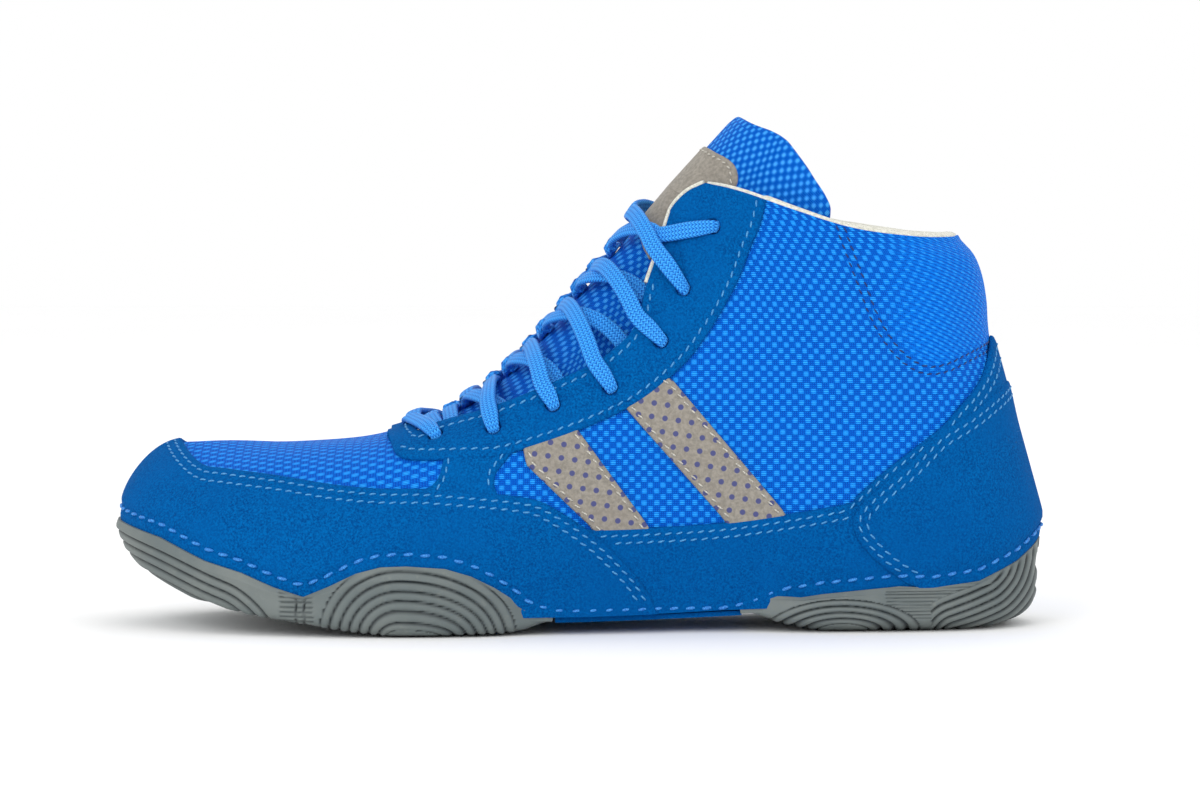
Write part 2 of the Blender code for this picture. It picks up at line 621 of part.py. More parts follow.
def build_tongue():
    """The tongue in two pieces, parted along a line through the hinge, and its patch."""
    back, front = ((HINGE[0] + reach * FOLD_SLOPE[0], HINGE[1] + reach * FOLD_SLOPE[1]) for reach in (80, -40))
    throat_start = [(-15, 47), (-30, 50.5), (-34.5, 66), (-43.5, 63.2), (-50, 60.6)]
    outline = prism("tongue_outline_cutter", [
        *TONGUE_TOP_EDGE, *TONGUE_SIDE_EDGE[1:4], *throat_start, (-51.5, 75), (-30, 95), (10, 150), (30, 165)])
    above = prism("above_hinge_cutter", [front, (-40, 220), (150, 220), (150, back[1]), back])
    below = prism("below_hinge_cutter", shifted([front, (-90, 150), (-90, 20), (150, 20), (150, back[1] - 1), back],
                                                -0.2, -0.25))
    stations = (2, STATIONS - 1)
    rows = (0, ROWS + TONGUE_ROWS)
    for name, half in (("tongue_lower", below), ("tongue_top", above)):
        piece = layer(name, "mesh", tongue_out, lambda p: tongue_out(p) - TONGUE_THICKNESS,
                      tuple(SIDES.values()), stations, rows, closed_throat=True)
        cut(piece, "INTERSECT", outline, half)
    patch = prism("patch_cutter", [(10, 150), (20, 126), (27.2, 130.5), (34, 135.5), (42.5, 138.5), (44.5, 141),
                                   (44.2, 146), (38, 152)])
    label = layer("tongue_label", "stripe", lambda p: tongue_out(p) + 1.1, lambda p: tongue_out(p) + GAP,
                  tuple(SIDES.values()), (4, STATIONS - 7), rows, closed_throat=True)
    cut(label, "INTERSECT", patch, above)
    hang_on_hinge("tongue_top", "tongue_label")


def nearest_place(outline, place):
    """The point of a smooth side-view line that is nearest to a place."""
    run = catmull_rom(outline, 12)
    return run[np.argmin(np.linalg.norm(run - place, axis=1))]


def at_place(side, place, offset):
    return at_offset(side, *place_on_surface(side, *place), offset)


def over_ridge(place, lift):
    """A point above the tongue's middle, square to the ridge."""
    ridge = [(x, z) for x, _, z in RIDGE]
    run = catmull_rom(ridge, 12)
    number = min(max(np.argmin(np.linalg.norm(run - place, axis=1)), 1), len(run) - 2)
    along = run[number + 1] - run[number - 1]
    square = np.array([along[1], -along[0]]) / np.linalg.norm(along)
    foot = run[number]
    return foot, np.array([foot[0] + square[0] * lift, 0, foot[1] + square[1] * lift])


def crossing(side, number, lift):
    """The lace from under one eyelet, over the tongue, to the top of the next eyelet across."""
    here, there = np.array(EYELETS[number]), np.array(EYELETS[number + 1])
    leave = nearest_place(THROAT_EDGE, here + LACE_SLANT)
    arrive = nearest_place(THROAT_EDGE, there - LACE_SLANT)
    leave = leave + (leave - here) / np.linalg.norm(leave - here) * LACE_CLEAR
    foot, middle = over_ridge((leave + arrive) / 2, lift)
    return [
        at_place(side, here + (leave - here) * 0.45, LACE_UNDER),
        at_place(side, leave, LACE_UNDER + 0.8),
        at_place(side, foot + (leave - foot) * 0.3, lift - 1.6),
        middle,
        at_place(-side, foot + (arrive - foot) * 0.3, lift + 1.0),
        at_place(-side, arrive, LACE_OVER),
        at_place(-side, arrive + (there - arrive) * 0.6, LACE_OVER),
    ]


def through_eyelet(side, number, depth):
    return [at_offset(side, *EYELET_PLACES[side][number], reach) for reach in (3.0, 1.6, -1.2, depth)]


def lace_route():
    """The held lace: a bar over the first two eyelets, then two ends that cross up to the last eyelets."""
    halves = []
    for side in SIDES.values():
        station, row = EYELET_PLACES[side][0]
        halves.append([at_offset(side, station, row + (ROWS - row) * share, LACE_OVER) for share in (0.7, 0.45, 0.2)])
        here = side
        for number in range(len(EYELETS) - 1):
            lift = LACE_LIFTS[(side == LATERAL) == (number % 2 == 0)]
            halves[-1] += through_eyelet(here, number, LACE_UNDER + 1.4)
            halves[-1] += crossing(here, number, lift)
            here = -here
        halves[-1] += through_eyelet(here, len(EYELETS) - 1, LACE_END_DEPTH + LACE_RADIUS)
    bar = at_offset(LATERAL, EYELET_PLACES[LATERAL][0][0], ROWS, LACE_OVER)
    return [*reversed(halves[0]), bar, *halves[1]]


def build_laces():
    """The held lace, and the two loose ends that are tucked down inside the boot, with their aglets."""
    tube("lace", "lace", lace_route(), LACE_RADIUS, steps=4, most_turn=25.0)
    for word, side in SIDES.items():
        start = at_offset(side, *EYELET_PLACES[side][-1], LACE_END_DEPTH - GAP)
        run = [start] + [at_place(side, place, LACE_END_DEPTH) for place in LACE_END]
        tube(f"lace_end_{word}", "lace", run, LACE_RADIUS)
        forward = (run[-1] - run[-2]) / np.linalg.norm(run[-1] - run[-2])
        tip = [run[-1] + forward * (GAP + AGLET_LENGTH * share) for share in (0, 0.5, 1)]
        tube(f"aglet_{word}", "plastic", tip, AGLET_RADIUS, steps=1)


def pod(name, stations, tread, scallop, tip_x):
    """A rubber pod: a wall up to the scalloped suede edge, and a bottom down to the tread line."""
    points_out = []
    points_in = []
    index = {}
    tip = min((abs(station_middle(i)[0] - tip_x), i) for i in range(stations[0], stations[1] + 1))[1]
    toe = tip_x < 0
    for side in SIDES.values():
        for i in range(stations[0], stations[1] + 1):
            foot, _, outward = station_ends(side, i)
            spine = min(i, tip) if toe else max(i, tip)
            for row in range(5):
                key = (0, spine, 4) if row == 4 else (0 if i in (0, STATIONS) else side, i, row)
                if key in index:
                    continue
                index[key] = len(points_out)
                middle = station_middle(spine)
                if row == 4:
                    points_out.append((middle[0], middle[1], line_below(tread, middle[0])))
                    points_in.append((middle[0], middle[1], middle[2] - 4 * GAP))
                elif row == 3:
                    inset = foot - outward * 6.0
                    points_out.append((inset[0], inset[1], line_below(tread, inset[0])))
                    points_in.append((inset[0], inset[1], foot[2] - 5 * GAP))
                else:
                    top = wall_top_row(side, i, scallop)
                    share = (1.0, 0.5, 0.0)[row]
                    inner = on_facets(side, i, top * share, SKIN_OUT + GAP)
                    low = on_facets(side, i, top * share, RUBBER_OUT + (0, 0.6, 0.3)[row])
                    if row == 2:
                        inner[2] = foot[2] - 4 * GAP
                        low[2] = (foot[2] + 1.5 * line_below(tread, foot[0])) / 2.5
                    points_in.append(inner)
                    points_out.append(low)
    faces = []
    for side in SIDES.values():
        for i in range(stations[0], stations[1]):
            for row in range(4):
                corners = []
                for station, w in ((i, row), (i + 1, row), (i + 1, row + 1), (i, row + 1)):
                    spine = min(station, tip) if toe else max(station, tip)
                    key = (0, spine, 4) if w == 4 else (0 if station in (0, STATIONS) else side, station, w)
                    corners.append(index[key])
                corners = [c for n, c in enumerate(corners) if c != corners[n - 1]]
                if len(corners) > 2:
                    faces.append(corners[::-1] if side == MEDIAL else corners)
    return new_object(name, *closed_shell(faces, np.array(points_out), np.array(points_in)), "rubber")


def station_middle(station):
    return (station_ends(LATERAL, station)[0] + station_ends(MEDIAL, station)[0]) / 2


def wall_top_row(side, station, scallop):
    """The row at which a station's curve meets the scalloped line."""
    low, high = 0.0, 4.0
    for _ in range(24):
        row = (low + high) / 2
        point = surface_point(side, station, row)
        if point[2] < line_below(scallop, point[0]) - 0.4:
            low = row
        else:
            high = row
    return max(low, 0.05)


def plate(name, kind, stations, inset, low, high, tip_heel, tip_toe):
    """A flat sheet over the sole: its edge follows the feather line, inset, between two heights above it."""
    index = {}
    lower = []
    upper = []
    middles = [station_middle(i)[0] for i in range(STATIONS + 1)]
    first = min(i for i in range(STATIONS + 1) if middles[i] <= tip_heel)
    last = max(i for i in range(STATIONS + 1) if middles[i] >= tip_toe)

    def key_of(side, i, row):
        if row == 1:
            return 0, min(max(i, first), last), 1
        return 0 if i in (0, STATIONS) else side, i, 0

    faces = []
    for side in SIDES.values():
        for i in range(stations[0], stations[1] + 1):
            for row in (0, 1):
                key = key_of(side, i, row)
                if key in index:
                    continue
                index[key] = len(lower)
                if row == 1:
                    point = station_middle(key[1])
                else:
                    foot, _, outward = station_ends(side, i)
                    point = foot - outward * inset
                lower.append(point + (0, 0, low))
                upper.append(point + (0, 0, high))
        for i in range(stations[0], stations[1]):
            corners = [index[key_of(side, *corner)] for corner in ((i, 0), (i + 1, 0), (i + 1, 1), (i, 1))]
            corners = [c for n, c in enumerate(corners) if c != corners[n - 1]]
            faces.append(corners if side == LATERAL else corners[::-1])
    return new_object(name, *closed_shell(faces, np.array(lower), np.array(upper)), kind)


def build_sole():
    rear_of_front_pod = min(i for i in range(STATIONS) if station_middle(i)[0] < -11)
    front_of_heel_pod = max(i for i in range(STATIONS) if station_middle(i)[0] > 49)
    pod("forefoot_outsole", (rear_of_front_pod, STATIONS), FRONT_TREAD, [*SUEDE_FOOT, (-8, 6)], -108)
    pod("heel_outsole", (0, front_of_heel_pod), HEEL_TREAD, [(40, 6.5), *SUEDE_HEEL], 106)
    arch = plate("arch_cover", "suede", (front_of_heel_pod, rear_of_front_pod), 1.0, -2.0, -0.6, 200, -200)
    cut(arch, "INTERSECT", region("arch_region", [(ARCH[0], -5), (ARCH[1], -5), (ARCH[1], 20), (ARCH[0], 20)]))
    plate("lasting_board", "board", (0, STATIONS), 5.2, 0.0, 1.4, 106, -106)
    plate("footbed", "foam", (0, STATIONS), 5.4, 1.7, 5.2, 106, -106)


def main():
    for old in list(bpy.data.objects):
        bpy.data.objects.remove(old)
    build_sole()
    build_panels()
    build_tongue()
    build_laces()


main()
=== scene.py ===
"""The looks of an ankle-high boxing boot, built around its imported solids.

Lengths are millimetres until a mesh is made. The toe points to -X, the heel to +X, the outer
(lateral) side is -Y and the ground is z = 0. The upper is one smooth surface: stations run
round the foot from the middle of the heel to the middle of the toe, and rows run from the sole
up to the collar or the ridge over the instep. A panel is a piece of that surface, cut out by an
outline in the side view, with thickness and rounded edges.
"""

import functools
import math

import bmesh
import bpy
import numpy as np
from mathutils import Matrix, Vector

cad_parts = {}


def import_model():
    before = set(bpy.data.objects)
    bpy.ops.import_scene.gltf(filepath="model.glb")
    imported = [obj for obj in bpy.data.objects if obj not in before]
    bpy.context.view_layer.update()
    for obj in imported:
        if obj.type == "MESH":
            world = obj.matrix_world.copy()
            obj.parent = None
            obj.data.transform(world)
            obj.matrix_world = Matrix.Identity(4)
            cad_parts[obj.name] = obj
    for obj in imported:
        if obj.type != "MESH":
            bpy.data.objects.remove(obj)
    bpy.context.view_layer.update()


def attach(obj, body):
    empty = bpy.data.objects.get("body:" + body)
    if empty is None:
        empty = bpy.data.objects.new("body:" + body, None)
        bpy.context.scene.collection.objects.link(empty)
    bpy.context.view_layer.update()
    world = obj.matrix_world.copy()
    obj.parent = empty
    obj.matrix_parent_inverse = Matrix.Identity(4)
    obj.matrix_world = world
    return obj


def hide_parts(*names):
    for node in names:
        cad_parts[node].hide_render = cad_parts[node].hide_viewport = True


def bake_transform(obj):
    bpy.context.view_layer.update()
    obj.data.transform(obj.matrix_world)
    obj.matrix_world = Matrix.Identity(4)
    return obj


MM = 0.001
LATERAL, MEDIAL = -1, 1
SIDES = {"lateral": LATERAL, "medial": MEDIAL}
BOTH = (LATERAL, MEDIAL)
CENTRE = np.array((-1.8, -1.89, 0.0))

# The upper's surface.
SHAFT_STATIONS = 9
FOOT_STATIONS = 15
STATIONS = SHAFT_STATIONS + FOOT_STATIONS
ROWS = 7
TONGUE_ROWS = 2
HEEL_CROWDING = 1.15
TOE_CROWDING = 1.2
SIDE_BULGE = 3.2
TOE_BULGE = 6.0
HEEL_BULGE = 10.0
HEEL_BULGE_FADE = 0.62
HEEL_BULGE_START = 0.2
TOE_START = 0.7
RISE_POWER, RISE_POWER_TOE = 0.78, 0.12
INWARD_POWER, INWARD_POWER_TOE = 0.7, 0.1
TONGUE_RISE_FRONT, TONGUE_RISE_BACK = np.array((20.0, 0, 22)), np.array((10.0, 0, 27))
TONGUE_BACK_STATIONS = 6
BULGE_ROW = 0.22
HEEL_REACH = 0.16
RIDGE_BLEND = 0.14
LEVEL_RIDGE = (0.62, 0.2)
HEEL_TIP = (134.0, 0.0, 14.0)
TOE_TIP = (-136.5, 5.0, 25.0)
FEATHER = {
    LATERAL: {
        "shaft": [HEEL_TIP, (131, -12, 12.5), (122, -23, 10.5), (104, -30, 9), (78, -32.5, 8),
                  (50, -33, 7.2)],
        "foot": [(50, -33, 7.2), (20, -36, 6), (-8, -41.5, 5.6), (-32, -46.5, 5.8), (-55, -49, 6.4),
                 (-78, -47, 7.6), (-99, -41, 10.2), (-116, -31.5, 15), (-128.5, -19, 20.5),
                 (-135.2, -6, 24), TOE_TIP],
    },
    MEDIAL: {
        "shaft": [HEEL_TIP, (131, 12, 12.5), (122, 22, 10.5), (104, 28.5, 9), (78, 30.5, 8),
                  (50, 29, 7.8)],
        "foot": [(50, 29, 7.8), (20, 29, 7.2), (-8, 32.5, 6.4), (-32, 38, 6.2), (-55, 43, 6.6),
                 (-78, 45.5, 7.6), (-99, 43.5, 10.2), (-116, 36.5, 15), (-128.5, 26, 20.5),
                 (-135, 15.5, 24), TOE_TIP],
    },
}
COLLAR = [(111, 0, 119), (108, 12, 118.6), (98, 25, 119), (80, 33, 121.5), (62, 33.5, 127),
          (46, 28.5, 132.5), (35.5, 21.5, 134.8), (27.6, 12, 135.2), (24.5, 0, 135)]
RIDGE = [(24.5, 0, 135), (11.5, 0, 119.5), (-3.5, 0, 101.5), (-14.5, 0, 88.5), (-26, 0, 76.5),
         (-38, 0, 67.5), (-50, 0.3, 61), (-63, 1, 56.8), (-85, 2, 55.2), (-105, 3, 55.6), (-120, 4, 55.2)]

# Layers, as distances out from the surface.
GAP = 0.3
SKIN_OUT = 1.5
STRIPE_OUT = 1.2
STRAP_OUT = 1.75
MESH_IN = -1.2
FOAM_OUT = MESH_IN - 0.1
LINING_THICKNESS = 1.0
FOAM_THICKNESS = 1.8
COLLAR_PADDING = 4.5
COLLAR_PAD_X, COLLAR_PAD_Z = 74, 76
PAD_SWELL, PAD_BULGE, PAD_TOP_DIP, PAD_SEAM_DIP = 1.4, 1.6, 2.6, 0.5
PAD_BULGE_DROP, PAD_FADE = 13, 14
STRETCH_MOST = 0.85
PUCKER_PITCH, DENT_ABOVE_RUBBER, DENT_HALF_WIDTH = 5.0, 3.0, 1.3
RUBBER_OUT = 3.5
EYESTAY_FADE = 4.0
TONGUE_RIDGE = 2.5
TONGUE_DROP = 7.5
TONGUE_HALF_WIDTH = 30.0
TONGUE_THICKNESS = 4.0
OVERLAP_LIFT = 0.9

# Side-view outlines, as (x, z).
THROAT_EDGE = [(-50, 59.6), (-44, 62.3), (-25.5, 68.2), (-2, 78.5), (7, 83.8), (14.9, 91.6), (18, 102.5),
               (22.5, 115), (24.6, 123), (27.5, 132), (33, 142)]
EYESTAY_EDGE = [(-58.5, 56.5), (-56, 53), (-50, 51.9), (-34, 52.8), (-25, 53.6), (-10.7, 57.9),
                (0, 61.8), (11, 66.6), (18.3, 70.9), (25.5, 76.7), (32.7, 84), (40, 94.8), (46.1, 105.9),
                (49.5, 115), (53, 124), (56.5, 142)]
EYELETS = [(-44.5, 58.6), (-27.2, 61.4), (-9.7, 68.4), (7.4, 73.6), (22.7, 87.4), (29.6, 103), (38.7, 121.6)]
MUDGUARD_TOP = [(-132, 66), (-127, 60), (-123.4, 54.6), (-116, 49), (-108, 48), (-91.6, 46.5), (-76, 44.5),
                (-60.8, 43.6), (-47, 43.8), (-28, 42.6), (-20, 41.7), (-13.2, 40.1), (-5.1, 35.5),
                (0.5, 31.5), (5.3, 27.7), (11.8, 21.2), (16.5, 15.7), (21.3, 7.3), (24, 0)]
MIDFOOT_TOP = [(-12, 31.4), (0, 31.6), (18, 31.9), (40.4, 33.1), (58.9, 35.5), (78.9, 39), (82, 41.6),
               (92, 44)]
HEEL_TOP = [(78.9, 39), (89.3, 48.3), (98, 55), (107, 61.6), (112, 67), (116.5, 71.5), (120.5, 77.5),
            (123.2, 86), (124.5, 93), (131, 97), (145, 99)]
COUNTER_OUTLINE = [(106, -5), (100.3, 12), (96.3, 15), (90, 19.3), (84, 24.9), (80.8, 30), (80.2, 34.5),
                   (82.5, 38.8), (88, 44), (96, 50.5), (103, 57.5), (106.6, 60.3), (110, 62.2),
                   (114.5, 64.8), (120.6, 69), (129.8, 75.3), (144, 84)]
THROAT_LINE = [*THROAT_EDGE[:-3], (24.4, 121), (26.4, 126.5), (30, 131), (35.5, 134.2), (45, 137.2),
               (60, 140)]
SUEDE_FOOT = [(-147, 34), (-141, 32.2), (-126.8, 28.6), (-113, 22.4), (-101.8, 19.2), (-92.5, 15.2),
              (-83.5, 12.4), (-75.6, 15.8), (-68, 19.6), (-60.5, 21.6), (-53, 21.9), (-41.8, 21.1),
              (-34.1, 18.7), (-27.3, 15.2), (-21, 11), (-16, 6.5), (-8, 4.5)]
SUEDE_HEEL = [(42, 4.5), (50, 6.5), (58, 9.9), (70.8, 12), (94, 14.4), (104, 13.9), (117.8, 15.5),
              (129.3, 20.9), (136.5, 26.3), (147, 33)]
COLLAR_SEAM = [(75.9, 128), (75.9, 121.8), (78.7, 113.9), (82.2, 104.8), (86.2, 94.5), (92, 85.3),
               (98.3, 79.8), (104, 78), (110, 79), (116, 81.5), (132, 88)]
STRIPES = {
    "front": [(-17.5, 51), (-19.2, 58.5), (-4.2, 63.8), (18.8, 32.4), (20.5, 28), (4.5, 28), (1.2, 32.8)],
    "rear": [(9.4, 70.6), (20.6, 78.4), (26, 76), (59.3, 36.8), (62, 32), (44, 30), (41.4, 34.3)],
}
SADDLE_OUTLINE = [(-50, 40), (-24, 38), (-25.5, 41), (-27.2, 45), (-26.8, 48.5), (-23, 53), (-20, 57),
                  (-41, 57), (-42.7, 50), (-43.3, 47.5), (-44.7, 45.3), (-48, 43.5)]
VAMP_SEAM = -36.0
HEEL_BOARD_ZONE = [(88.2, 0), (150, 0), (150, 71), (118, 71), (96, 66), (88.2, 40)]
HEEL_BOARD_HOLE = [(87.8, 0), (150, 0), (150, 71.4), (118, 71.4), (95.7, 66.4), (87.8, 40)]
THROAT_TOP = [(60, 175), (-52, 175), (-52, 61)]
TONGUE_SMOOTH_POINTS = 10
TONGUE_OUTLINE = [(40, 158), (47.5, 156.2), (51.5, 154.6), (56, 151), (61, 145), (67.5, 137), (72.5, 130.5),
                  (74.5, 125), (72, 112), (60, 96), (45, 78), (20, 60), (-15, 47), (-36, 50), (-48, 53),
                  (-57, 54), (-58, 75), (-30, 95), (10, 150), (30, 165)]
LABEL_OUTLINE = [(10, 150), (14, 118), (20, 118), (27.2, 128), (33, 133.5), (39, 135.2), (41.2, 138),
                 (41, 142.5), (39, 145.5), (34.5, 147.2), (20, 152)]
LACE_END = [(41, 116), (47, 104), (54, 88), (60, 70), (64, 50), (64, 32), (60, 20), (48, 16.5), (34, 16),
            (20, 16)]
FRONT_TREAD = [(-142, 27.5), (-138, 20.9), (-131, 15.5), (-116, 9), (-100, 5.4), (-85, 3), (-70, 1),
               (-60, 0), (-25, 0), (-18, 1.2), (-12, 3.4)]
HEEL_TREAD = [(50, 5.2), (58, 2.4), (66, 0.7), (72, 0), (118, 0), (128, 0.8), (134.5, 3), (139.4, 7.6),
              (143, 14)]

# The lacing: outward distances, and the x of each crossing on the ridge.
LACE_WIDTH, LACE_THICKNESS = 5.2, 1.9
LACE_OVER, LACE_UNDER = SKIN_OUT + 1.2, -5.0
LACE_LIFTS = {LATERAL: 0.4, MEDIAL: 1.2}
LOOSE_LIFT = 2.2
LACE_TUCK = -5.6
BAR_RIDGE = -53.0
RIDGE_CROSSINGS = {
    LATERAL: (-41.0, -29.0, -18.0, -7.5, 2.0, 15.0),
    MEDIAL: (-47.0, -36.5, -24.0, -13.5, -3.0, 7.5),
}

# The rubber: (x and z of the middle, heights, front reaches, rear reaches) of nested arcs, and rib lines.
BALL_ARCS = ((-55.0, 0.0), (2.3, 4.7, 8.4, 11.3, 14.1, 17.1, 20.2, 23.4),
             (4, 6.5, 9.5, 12.5, 15.4, 18.3, 21.4, 24.4), (12, 16, 19.5, 22.7, 25.9, 28.5, 31.4, 34.8))
HEEL_ARCS = ((77.0, 0.0), (2.6, 4.4, 6.3, 8.2, 10.2), (7, 11, 15, 19, 23), (8, 12, 16, 20, 24))
TOE_CURVE = [(-146, 29.5), (-139.5, 27.6), (-127, 23.6), (-113, 17.8), (-104, 14.2), (-97.5, 9),
             (-93.5, 3), (-92, -3)]
HEEL_CURVE = [(112, -2), (122, 1.5), (129.5, 5), (135.5, 11), (138.6, 18.5), (139, 26), (137.6, 33)]
RIB_DEPTH = 0.75
POD_TAPER = 1.6
TIP_OUT = 0.3
BALL_PITCH, HEEL_PITCH = 2.9, 2.1
TOE_PITCH, REAR_PITCH, POCKET_PITCH, WAIST_PITCH, FINE_PITCH = 2.7, 2.3, 1.5, 2.4, 1.05
TERRACE = 0.3
POD_STEPS = (8, 16, 24, 18, 8, 8)
POD_FINENESS = 26
TOE_SPINE_END, HEEL_SPINE_END = -108, 106

# Sewing: (place along, size, lift) of the rings of one stitch, and the seams' insets and pitches.
STITCH_RINGS = ((-0.5, 0.25, -0.5), (-0.38, 0.8, 0.0), (-0.12, 1.0, 0.32), (0.12, 1.0, 0.32),
                (0.38, 0.8, 0.0), (0.5, 0.25, -0.5))
SEAM_INSETS = (2.0, 4.2)
SEAM_PITCH = 3.3
SOLE_PITCH = 5.0
THREAD_SIDES = 6

# Panels: how thick, how rounded at the rim, and where those end that run on under another.
SUEDE_THICKNESS = 1.2
UNDERLAP = 4.0
MIDFOOT_UNDERLAP, MIDFOOT_ENDS = 5.0, (-14, 104)
STRAP_FRONT, STRAP_FOOT = 80.5, 37.5
PUFF_BACK = -100
SADDLE_OUT = SKIN_OUT - 0.5
TONGUE_RIM, TONGUE_PLUMP = 4.5, 1.6
LABEL_OUT, LABEL_RIM = 1.3, 0.8
ROLL_RINGS, ROLL_FRONT = 140, 36
BRAID_CORNERS, BRAID_PITCH = 14, 0.9
LINING_RIM, EYESTAY_RIM = 0.5, 0.9
EYELET_RADIUS = 2.2
SOFT_RIM, THIN_RIM, SUEDE_RIM = 0.6, 0.3, 1.0
VAMP_DROP = 0.6
STRIPE_TURN = -55

# How finely curves are stepped, and how near to a cut a point may lie.
STEPS = 16
LEVEL_SLACK = 0.02

# Colours, as 0 to 255 sRGB.
SUEDE_DARK, SUEDE_LIGHT, SUEDE_NAP, SUEDE_WORN = (0, 60, 122), (0, 100, 172), (0, 88, 158), (0, 72, 138)
SUEDE_BLOOM = (60, 150, 230)
# The weave's blues run from painted shade in its low parts to painted highlight on its crowns.
MESH_BLUES_SHADE_TO_HIGHLIGHT = ((0, 72, 178), (0, 112, 218), (48, 168, 252))
TONGUE_BLUES_SHADE_TO_HIGHLIGHT = ((0, 74, 182), (4, 116, 222), (84, 186, 255))
# The braid's blues run from painted shade between the strands to painted highlight on their crowns.
BRAID_BLUES_SHADE_TO_HIGHLIGHT = ((0, 76, 166), (18, 128, 222), (62, 166, 244))
LINING_DARK, LINING_LIGHT, LINING_WORN = (186, 186, 172), (238, 236, 224), (206, 206, 190)
GREY_DARK, GREY_LIGHT, GREY_WORN, DOT_NAVY = (126, 121, 112), (150, 144, 134), (130, 122, 113), (70, 74, 120)
RUBBER_DARK, RUBBER_LIGHT = (98, 107, 107), (112, 119, 117)
# The groove colour is dirt and painted shade down in the rubber's recesses.
RUBBER_DUST, RUBBER_GROOVE_DIRT_AND_SHADE = (136, 138, 130), (38, 44, 47)
AGLET_BLUES = ((20, 96, 176), (54, 136, 210))
FILLERS = {  # material's name, colours, scale of the pores
    "board": ("fibre_board", ((170, 160, 136), (200, 190, 165)), 500),
    "foam": ("foam", ((190, 188, 176), (220, 218, 208)), 900),
}
THREADS = {
    "thread": ((42, 118, 182), (80, 158, 208)),
    "bold": ((16, 100, 186), (60, 148, 222)),
    "navy": ((8, 30, 90), (16, 52, 120)),
    "cream": ((160, 156, 146), (206, 202, 190)),
}
MESH_TILE, VAMP_TILE = (1.9, 1.75), (2.6, 1.8)
DOT_PITCH, DOT_ROWS = 5.6, 2.9
BRAID_COLUMN, BRAID_STRAND = 1.3, 1.05
DIAGONAL = 0.7071

# The view.
CAMERA_PLACE, CAMERA_TARGET = (0.0062, -1.498, 0.145), (0.0062, 0.0019, 0.0691)
CAMERA_LENS, CAMERA_SENSOR, CAMERA_NEAR = 147, 36, 0.05
LAMPS = {  # place, size, power
    "key": ((-0.6, -1.3, 0.7), 0.9, 7),
    "fill": ((0.9, -1.0, 0.7), 0.8, 2),
    "back": ((0.2, 1.2, 1.0), 0.9, 2),
}
LAMP_TARGET = (0.0, 0.0, 0.06)
PAPER_DARK = (253.31, 253.31, 253.31)

# Columns of a patch's table of points.
POINT, NORMAL, UV, SIDE = slice(0, 3), slice(3, 6), slice(6, 8), 8


def smooth(value):
    """An eased share, from 0 at 0 to 1 at 1."""
    value = np.clip(value, 0.0, 1.0)
    return value * value * (3 - 2 * value)


def bend(a, b, c, d, t):
    """The place a share t of the way from b to c, on a smooth run through all four."""
    return 0.5 * (2 * b + (c - a) * t + (2 * a - 5 * b + 4 * c - d) * t**2 + (3 * b - a - 3 * c + d) * t**3)


def catmull_rom(points, steps=STEPS):
    """A smooth run through the points, with this many steps between each two."""
    points = [np.array(point, float) for point in points]
    points = [2 * points[0] - points[1], *points, 2 * points[-1] - points[-2]]
    run = []
    for a, b, c, d in zip(points, points[1:], points[2:], points[3:]):
        for t in np.arange(steps) / steps:
            run.append(bend(a, b, c, d, t))
    run.append(points[-2])
    return np.array(run)


def unit(vectors, least=0.0):
    """The vectors at length 1."""
    lengths = np.linalg.norm(vectors, axis=-1)
    return vectors / (np.maximum(lengths, least) if least else lengths)[..., None]


def between_rows(at, places, rows):
    """Rows of a table, read between its places."""
    return np.stack([np.interp(at, places, column) for column in rows.T], -1)


def distances(points, axis=0):
    """How far along a chain of points each of them is, or along one axis of a grid of points."""
    steps = np.linalg.norm(np.diff(points, axis=axis), axis=-1)
    return np.insert(np.cumsum(steps, axis=axis), 0, 0.0, axis=axis)


def directions(centres):
    """Which way a chain of points runs at each of them."""
    return unit(np.gradient(centres, axis=0))


class Run:
    """A curve that is read by the fraction of its length."""

    def __init__(self, points):
        self.points = np.array(points)
        self.fractions = distances(self.points) / distances(self.points)[-1]

    def at(self, fraction):
        return between_rows(fraction, self.fractions, self.points)


def feather_runs(side):
    """The shaft's and the foot's stretch of the feather line, smooth where they meet."""
    shaft, foot = FEATHER[side]["shaft"], FEATHER[side]["foot"]
    whole = catmull_rom([*shaft, *foot[1:]])
    meeting = (len(shaft) - 1) * STEPS
    return Run(whole[: meeting + 1]), Run(whole[meeting:])


FEATHER_RUNS = {side: feather_runs(side) for side in BOTH}
COLLAR_RUN = Run(catmull_rom(COLLAR))
RIDGE_RUN = Run(catmull_rom(RIDGE))


def station_ends(side, station):
    """(feather points, top points, outward directions in plan) of an array of stations."""
    station = np.asarray(station, float)
    shaft = station <= SHAFT_STATIONS
    fraction = np.where(
        shaft,
        (np.clip(station / SHAFT_STATIONS, 0, 1)) ** HEEL_CROWDING,
        1 - (1 - np.clip((station - SHAFT_STATIONS) / FOOT_STATIONS, 0, 1)) ** TOE_CROWDING,
    )
    on_shaft = shaft[..., None]

    def feather(at):
        at = np.clip(at, 0, 1)
        return np.where(on_shaft, FEATHER_RUNS[side][0].at(at), FEATHER_RUNS[side][1].at(at))

    top = np.where(on_shaft, COLLAR_RUN.at(fraction) * (1, side, 1), RIDGE_RUN.at(fraction))
    along = feather(fraction + 0.01) - feather(fraction - 0.01)
    outward = unit(np.stack([side * along[..., 1], -side * along[..., 0], 0 * along[..., 0]], -1))
    # Square to the middle at the very heel and toe, so that both sides meet without a crease.
    outward[..., 1] *= smooth(station) * smooth(STATIONS - station)
    return feather(fraction), top, unit(outward)


